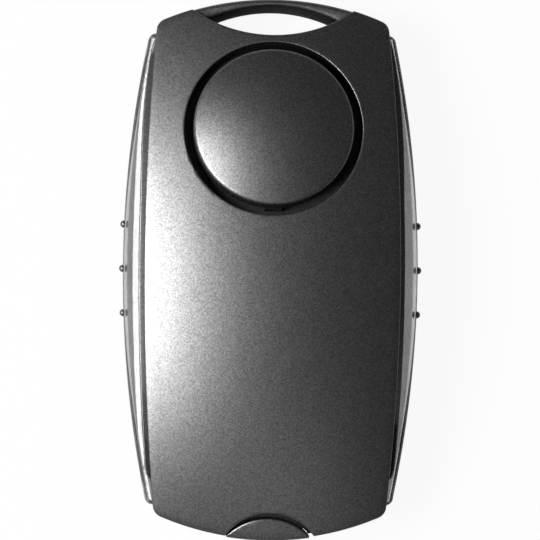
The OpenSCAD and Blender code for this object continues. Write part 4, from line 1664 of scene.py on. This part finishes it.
@dataclass
class SirenButton:
    """The domed button with its skirt, spring spigot, snap hooks and switch post."""

    radius: float = 14.1
    dome_round: float = 45.0
    dome_rim: float = 0.19
    dome_steps: int = 60
    rim_edge: float = 0.8
    rim_steps: int = 8
    wall: float = 1.6
    wall_steps: int = 24
    skirt_low: float = -2.6
    skirt_thick: float = 1.45
    hook_angles: tuple[float, ...] = (90.0, 210.0, 330.0)
    hook_half_width: float = 1.6
    hook_thick: float = 1.2
    hook_root: float = 1.0
    barb_reach: float = 0.8
    barb_high: float = -7.05
    barb_low: float = -8.05
    post_half_width: float = 1.5
    post_thick: float = 1.6
    post_fill: float = 0.36
    post_fill_high: float = -5.5
    post_low: float = -7.2
    post_root: float = 0.5
    spigot_round: float = 2.95
    spigot_low: float = -2.0

    @property
    def dome_centre(self) -> float:
        """Height of the dome's centre in the button's frame."""
        rise = self.dome_round - math.sqrt(self.dome_round**2 - self.radius**2)
        return self.dome_rim + rise - self.dome_round

    def dome(self, radius: float, reach: float, steps: int) -> list[Spot]:
        """Profile of a dome, from a distance from the axis to its apex."""
        reaches = np.linspace(reach, 0.0, steps + 1)
        return [(r, self.dome_centre + math.sqrt(radius**2 - r**2)) for r in reaches]

    def cap(self) -> Form:
        """The hollow domed cap with a rounded rim.

        Returns:
            The cap in the button's frame.
        """
        edge = self.rim_edge
        centre_r = self.radius - edge
        centre_z = self.dome_centre + math.sqrt((self.dome_round - edge) ** 2 - centre_r**2)
        lean = math.degrees(math.asin(centre_r / (self.dome_round - edge)))
        rim = arc((centre_r, centre_z), edge, 0.0, 90.0 - lean, self.rim_steps)
        inner_r = self.radius - self.skirt_thick
        inner = self.dome(self.dome_round - self.wall, inner_r, self.wall_steps)[::-1]
        profile = [*inner, (inner_r, self.skirt_low), (self.radius, self.skirt_low), *rim,
                   *self.dome(self.dome_round, rim[-1][0], self.dome_steps)[1:]]
        return revolve(profile, MANY_SIDES)

    def hook(self, angle: float) -> Form:
        """A snap hook with its barb, turned by an angle round the axis.

        Args:
            angle: The angle in degrees.

        Returns:
            The hook in the button's frame.
        """
        inner = self.radius - self.skirt_thick + SEAT_GAP
        half = self.hook_half_width
        arm = block((inner, -half, self.barb_low),
                    (inner + self.hook_thick, half, self.skirt_low + self.hook_root))
        barb = block((inner - self.barb_reach, -half, self.barb_low),
                     (inner + OVERLAP, half, self.barb_high))
        return arm.join(barb).move(Matrix.Rotation(math.radians(angle), 4, "Z"))

    def post(self, extra: float, low: float, high: float) -> Form:
        """The switch post between two heights, larger by some extra all round."""
        half, outer = self.post_half_width, OVERLAP - self.radius
        return block((-half - extra, outer - extra, low),
                     (half + extra, outer + self.post_thick + extra, high))

    def core(self) -> Form:
        """The spring's spigot, the snap hooks and the switch post behind the cap.

        Returns:
            The core in the button's frame.
        """
        top = self.dome_centre + self.dome_round - self.wall + OVERLAP
        spigot = disc(ORIGIN, self.spigot_round, self.spigot_low, top)
        return spigot.join(*(self.hook(angle) for angle in self.hook_angles),
                           self.post(0.0, self.post_fill_high - OVERLAP, self.skirt_low + self.post_root),
                           self.post(self.post_fill, self.post_low, self.post_fill_high))

    def build(self, shop: Workshop) -> list[bpy.types.Object]:
        """Make the button.

        Args:
            shop: Materials and trees.

        Returns:
            The painted cap and the plain core.
        """
        # the core is moulded black and also stands as painted shade: the switch post reads as dark as the
        # shaded ring round the button
        parts = ((self.cap(), "painted", Slot.CASE_PAINT), (self.core(), "core", Slot.BLACK_PLASTIC))
        return [form.move(AXIS.matrix).seat(shop, "siren_button", ending, slot, "button")
                for form, ending, slot in parts]


@dataclass
class ButtonSpring:
    """The wound spring under the button, built at rest; nothing here flattens it as the button goes down."""

    coil_round: float = 3.7
    wire: float = 0.35
    low: float = -5.1
    high: float = 0.2267
    turns: float = 4.0

    def build(self, shop: Workshop) -> bpy.types.Object:
        """Make the spring.

        Args:
            shop: Materials and trees.

        Returns:
            The spring's piece.
        """
        sizes = {"Coil radius": self.coil_round, "Wire radius": self.wire, "Rise": self.high - self.low,
                 "Turns": self.turns, "Material": shop.materials[Slot.SPRING_STEEL]}
        form = shop.helix.run(plain_mesh("points", [(0.0, 0.0, 0.0)]), sizes)
        form.move(Matrix.Translation((0.0, 0.0, self.low))).move(AXIS.matrix)
        wound = form.seat(shop, "button_spring", "steel", Slot.SPRING_STEEL)
        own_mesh(wound)
        return wound


@dataclass
class BatteryDrawer:
    """The half-moon pull and the tray behind it."""

    shift: float = -0.3
    pull_top: float = 44.0
    pull_round: float = 10.2
    pull_half_width: float = 7.3
    pull_low: float = 0.3
    pull_proud: float = 0.2
    pull_drop: float = 0.15
    pull_edge: float = 0.3
    pull_rings: int = 48
    face_edge: SoftEdge = SoftEdge()
    tray_half_width: float = 7.0
    tray_from: float = -46.0
    tray_end: float = -4.6
    tray_low: float = 2.1
    tray_high: float = 8.3
    pocket_round: float = 5.95
    pocket_low: float = 3.1
    pocket_sides: int = 96
    cell_places: tuple[float, ...] = (-37.3, -24.5, -11.7)
    channel_half_width: float = 2.2
    channel_high: float = 3.35

    @property
    def pull_place(self) -> Spot:
        """Place of the pull's axis."""
        return (self.shift, -(self.pull_top + self.pull_round))

    def strip(self, half_width: float, span: Spot, low: float, high: float) -> Form:
        """A block on the drawer's middle line."""
        return block((self.shift - half_width, span[0], low), (self.shift + half_width, span[1], high))

    def pull_outline(self, gap: float, low: float, high: float) -> Form:
        """The half-moon's upright outline with a gap round it, open at the bottom of the case.

        Args:
            gap: Width of the gap.
            low: Height of its lower end.
            high: Height of its upper end.

        Returns:
            The form.
        """
        moon = disc(self.pull_place, self.pull_round + gap, low - PAST, high + PAST, MANY_SIDES)
        return self.strip(self.pull_half_width + gap, (-REACH, 0.0), low, high).keep(moon)

    def lowered_face(self, x: np.ndarray, y: np.ndarray) -> np.ndarray:
        """Height of the pull's face."""
        return PLAN.face_height(x, y + self.pull_proud) - self.pull_drop

    def crowned_block(self, shop: Workshop) -> Form:
        """The crowned form that the pull is cut from.

        Args:
            shop: Materials and trees.

        Returns:
            The form.
        """
        stack = CrownedStack(shop)
        stack.level(0.0, 0.0)
        stack.soft_edge(self.face_edge, self.pull_drop)
        stack.middle(self.face_edge.width, self.pull_drop, self.pull_rings)
        return stack.close(0.0, 0.0, self.pull_drop).move(Matrix.Translation((0.0, -self.pull_proud, 0.0)))

    def build(self, shop: Workshop) -> bpy.types.Object:
        """Make the drawer.

        Args:
            shop: Materials and trees.

        Returns:
            The drawer's piece.
        """
        moon = RoundWall(self.pull_place, self.pull_round, self.pull_edge, self.lowered_face, -1)
        outer, middle, inner = self.cell_places
        cells = [(self.shift, y) for y in self.cell_places]
        drawer = self.crowned_block(shop)
        drawer.keep(moon.form(self.pull_low),
                    self.strip(self.pull_half_width, (-REACH, 0.0), self.pull_low, REACH))
        tray_span = (self.tray_from, self.tray_end)
        drawer.join(self.strip(self.tray_half_width, tray_span, self.tray_low, self.tray_high))
        pocket_high = self.tray_high + PAST
        drawer.remove(*discs(cells, self.pocket_round, self.pocket_low, pocket_high, self.pocket_sides),
                      *(self.strip(self.channel_half_width, span, self.pocket_low, self.channel_high)
                        for span in ((inner, REACH), (outer, middle))))
        return drawer.seat(shop, "battery_drawer", "painted", Slot.CASE_PAINT, "drawer")


@dataclass
class ScrewSet:
    """Equal screws in their places, each with its angles."""

    node: str
    shank: float
    shank_length: float
    head: float
    head_height: float
    places: list[tuple[Vector, Vector]]

    def build(self, shop: Workshop) -> bpy.types.Object:
        """Make the screws.

        Args:
            shop: Materials and trees.

        Returns:
            The screws as one piece.
        """
        mesh = plain_mesh("points", [tuple(place) for place, _ in self.places])
        turn = mesh.attributes.new("turn", "FLOAT_VECTOR", "POINT")
        turn.data.foreach_set("vector", [value for _, angles in self.places for value in angles])
        sizes = {"Shank radius": self.shank, "Shank length": self.shank_length, "Head radius": self.head,
                 "Head height": self.head_height, "Material": shop.materials[Slot.SCREW_STEEL]}
        return shop.screws.run(mesh, sizes).seat(shop, self.node, "steel", Slot.SCREW_STEEL)


def case_screws(fittings: CaseFittings) -> ScrewSet:
    """The four screws through the back."""
    places = [(Vector((x, y, fittings.seat)), Vector()) for x, y in fittings.screws()]
    return ScrewSet("case_screws", shank=0.95, shank_length=7.0, head=1.9, head_height=1.3, places=places)


def inner_screws(ears: WellEars, back: BackShell) -> ScrewSet:
    """The screws of the well, the board and the contact carrier.

    Args:
        ears: Places in the button's frame.
        back: The back shell, which takes the carrier's screws.

    Returns:
        The set of screws.
    """
    leaning = Vector((-AXIS.tilt, 0.0, 0.0))
    upside_down = Vector((math.pi, 0.0, 0.0))
    spots = [(*place, ears.ear_low) for place in ears.places()]
    spots += [(*place, ears.board_low) for place in both_sides(ears.standoffs) + both_sides(ears.bosses)]
    places = [(AXIS.matrix @ Vector(spot), leaning) for spot in spots]
    places += [(Vector((x, y, back.guide_high + back.carrier_thick)), upside_down)
               for x, y in both_sides([back.carrier_screw])]
    return ScrewSet("inner_screws", shank=0.85, shank_length=ears.shank_length, head=1.7, head_height=1.2,
                    places=places)


@dataclass
class InnerPieces:
    """The solids that show as they are, each with the finish of its slot."""

    replaced: set[str]

    def dress(self, shop: Workshop) -> list[str]:
        """Give every solid that is not replaced its finish.

        Args:
            shop: The finished materials.

        Returns:
            Names of the dressed nodes.
        """
        parts = [part for part in frame["record"]["subparts"] if part["node"] not in self.replaced]
        for part in parts:
            shop.dress(frame["nodes"][part["node"]], Slot(part["material_slot"]))
        return [part["node"] for part in parts]


@dataclass
class Lamp:
    """A soft studio lamp that looks at the object."""

    name: str
    place: tuple[float, float, float]
    size: Spot
    power: float

    def build(self) -> None:
        """Make the lamp."""
        light = bpy.data.lights.new(self.name, "AREA")
        light.shape = "RECTANGLE"
        light.size, light.size_y = self.size
        light.energy = self.power
        thing = in_scene(self.name, light)
        thing.location = self.place
        thing.rotation_mode = "QUATERNION"
        thing.rotation_quaternion = (-Vector(self.place)).to_track_quat("-Z", "Y")


@dataclass
class Studio:
    """Pale floor, plain world and soft lamps, in metres."""

    floor_half: float = 3.0
    floor_height: float = -0.0002
    floor_tone: float = 0.8
    floor_roughness: float = 0.9
    floor_glow: float = 0.93
    mirror_share: float = 0.4
    world_grey: float = 0.06
    lamps: tuple[Lamp, ...] = (
        Lamp("left_lamp_box", (-0.382, -0.016, 0.463), (0.415, 0.277), 5.0),
        Lamp("low_lamp_box", (0.05, -0.55, 0.62), (0.4, 0.4), 0.25),
    )

    def glow(self, nodes: MaterialNodes) -> Any:
        """Glow of the floor: full for the camera and through a clear piece, a share for mirrored rays.

        Args:
            nodes: The floor's material under construction.

        Returns:
            Socket with the number.
        """
        path = nodes.add("ShaderNodeLightPath").outputs
        plain = nodes.math("MAXIMUM", path["Is Camera Ray"], path["Is Transmission Ray"])
        mirrored = nodes.math("MULTIPLY", path["Is Glossy Ray"], self.mirror_share)
        return nodes.math("MULTIPLY", nodes.math("MAXIMUM", plain, mirrored), self.floor_glow)

    def floor(self) -> bpy.types.Object:
        """The floor, which glows white for the camera and still takes a shadow.

        Returns:
            The floor's object.
        """
        half = self.floor_half
        plan = ((-half, -half), (half, -half), (half, half), (-half, half))
        mesh = plain_mesh("floor", [(*corner, self.floor_height) for corner in plan], [(0, 1, 2, 3)])
        nodes = MaterialNodes("floor")
        tone = (*grey(self.floor_tone), 1.0)
        nodes.feed(nodes.shader, {"Base Color": tone, "Roughness": self.floor_roughness})
        light = nodes.add("ShaderNodeEmission", {"Strength": 1.0}).outputs["Emission"]
        shares = {"Fac": self.glow(nodes), 1: nodes.shader.outputs["BSDF"], 2: light}
        mix = nodes.add("ShaderNodeMixShader", shares)
        nodes.feed(nodes.output, {"Surface": mix.outputs["Shader"]})
        mesh.materials.append(nodes.material)
        return in_scene("floor", mesh)

    def world(self) -> None:
        """A plain grey world that the camera sees as white."""
        world = bpy.data.worlds.new("studio")
        world.use_nodes = True
        graph = NodeGraph(world.node_tree)
        dim, full = (graph.add("ShaderNodeBackground", {"Color": WHITE, "Strength": strength}).outputs
                     for strength in (self.world_grey, 1.0))
        seen = graph.add("ShaderNodeLightPath").outputs["Is Camera Ray"]
        mix = graph.add("ShaderNodeMixShader", {"Fac": seen, 1: dim["Background"], 2: full["Background"]})
        graph.add("ShaderNodeOutputWorld", {"Surface": mix.outputs["Shader"]})
        bpy.context.scene.world = world

    def build(self) -> None:
        """Make the studio."""
        self.floor()
        self.world()
        for lamp in self.lamps:
            lamp.build()
        bpy.context.scene.view_settings.view_transform = "Standard"


@dataclass
class PhotoCamera:
    """The camera, fitted to the photograph's own view, with lengths in millimetres and angles in degrees."""

    distance: float = 600.0
    target: tuple[float, float, float] = (-0.254, -0.178, 11.0)
    yaw: float = 1.986
    pitch: float = 1.064
    roll: float = 0.424
    pixels_per_millimetre: float = 5.649
    sensor: float = 36.0
    clip_metres: Spot = (0.01, 10.0)

    def build(self) -> None:
        """Make the camera."""
        yaw, pitch, roll = (math.radians(angle) for angle in (self.yaw, self.pitch, self.roll))
        back = Vector((-math.sin(yaw) * math.cos(pitch), -math.sin(pitch), math.cos(yaw) * math.cos(pitch)))
        level_right = Vector((0.0, 1.0, 0.0)).cross(back).normalized()
        level_up = back.cross(level_right)
        right = math.cos(roll) * level_right + math.sin(roll) * level_up
        up = -math.sin(roll) * level_right + math.cos(roll) * level_up
        data = bpy.data.cameras.new("photo_camera")
        data.sensor_width = self.sensor
        data.lens = self.pixels_per_millimetre * self.distance / IMAGE_PIXELS * self.sensor
        data.clip_start, data.clip_end = self.clip_metres
        camera = in_scene("photo_camera", data)
        turned = Matrix((right, up, back)).transposed().to_4x4()
        place = (Vector(self.target) + self.distance * back) * METRES
        camera.matrix_world = Matrix.Translation(place) @ turned
        bpy.context.scene.camera = camera


def main() -> None:
    """Build and dress every piece, then the studio and the camera."""
    logging.basicConfig(level=logging.INFO, format="%(name)s: %(message)s")
    shop = Workshop()
    eyelet, fittings, ears, drawer = Eyelet(), CaseFittings(), WellEars(), BatteryDrawer()
    back = BackShell(eyelet, fittings, drawer)
    pieces = [
        FrontShell(eyelet, fittings, ears).build(shop),
        back.build(shop),
        *SideWindow(Side.LEFT).build(shop),
        *SideWindow(Side.RIGHT).build(shop),
        *SirenButton().build(shop),
        drawer.build(shop),
        case_screws(fittings).build(shop),
        inner_screws(ears, back).build(shop),
        ButtonSpring().build(shop),
    ]
    replaced = {node for piece in pieces for node in piece["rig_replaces"]}
    for piece in pieces:
        log.info("%s: %d faces", piece.name, len(piece.data.polygons))
    for node in InnerPieces(replaced).dress(shop):
        log.info("%s: dressed solid", node)
    Studio().build()
    PhotoCamera().build()


if __name__ == "__main__":
    main()
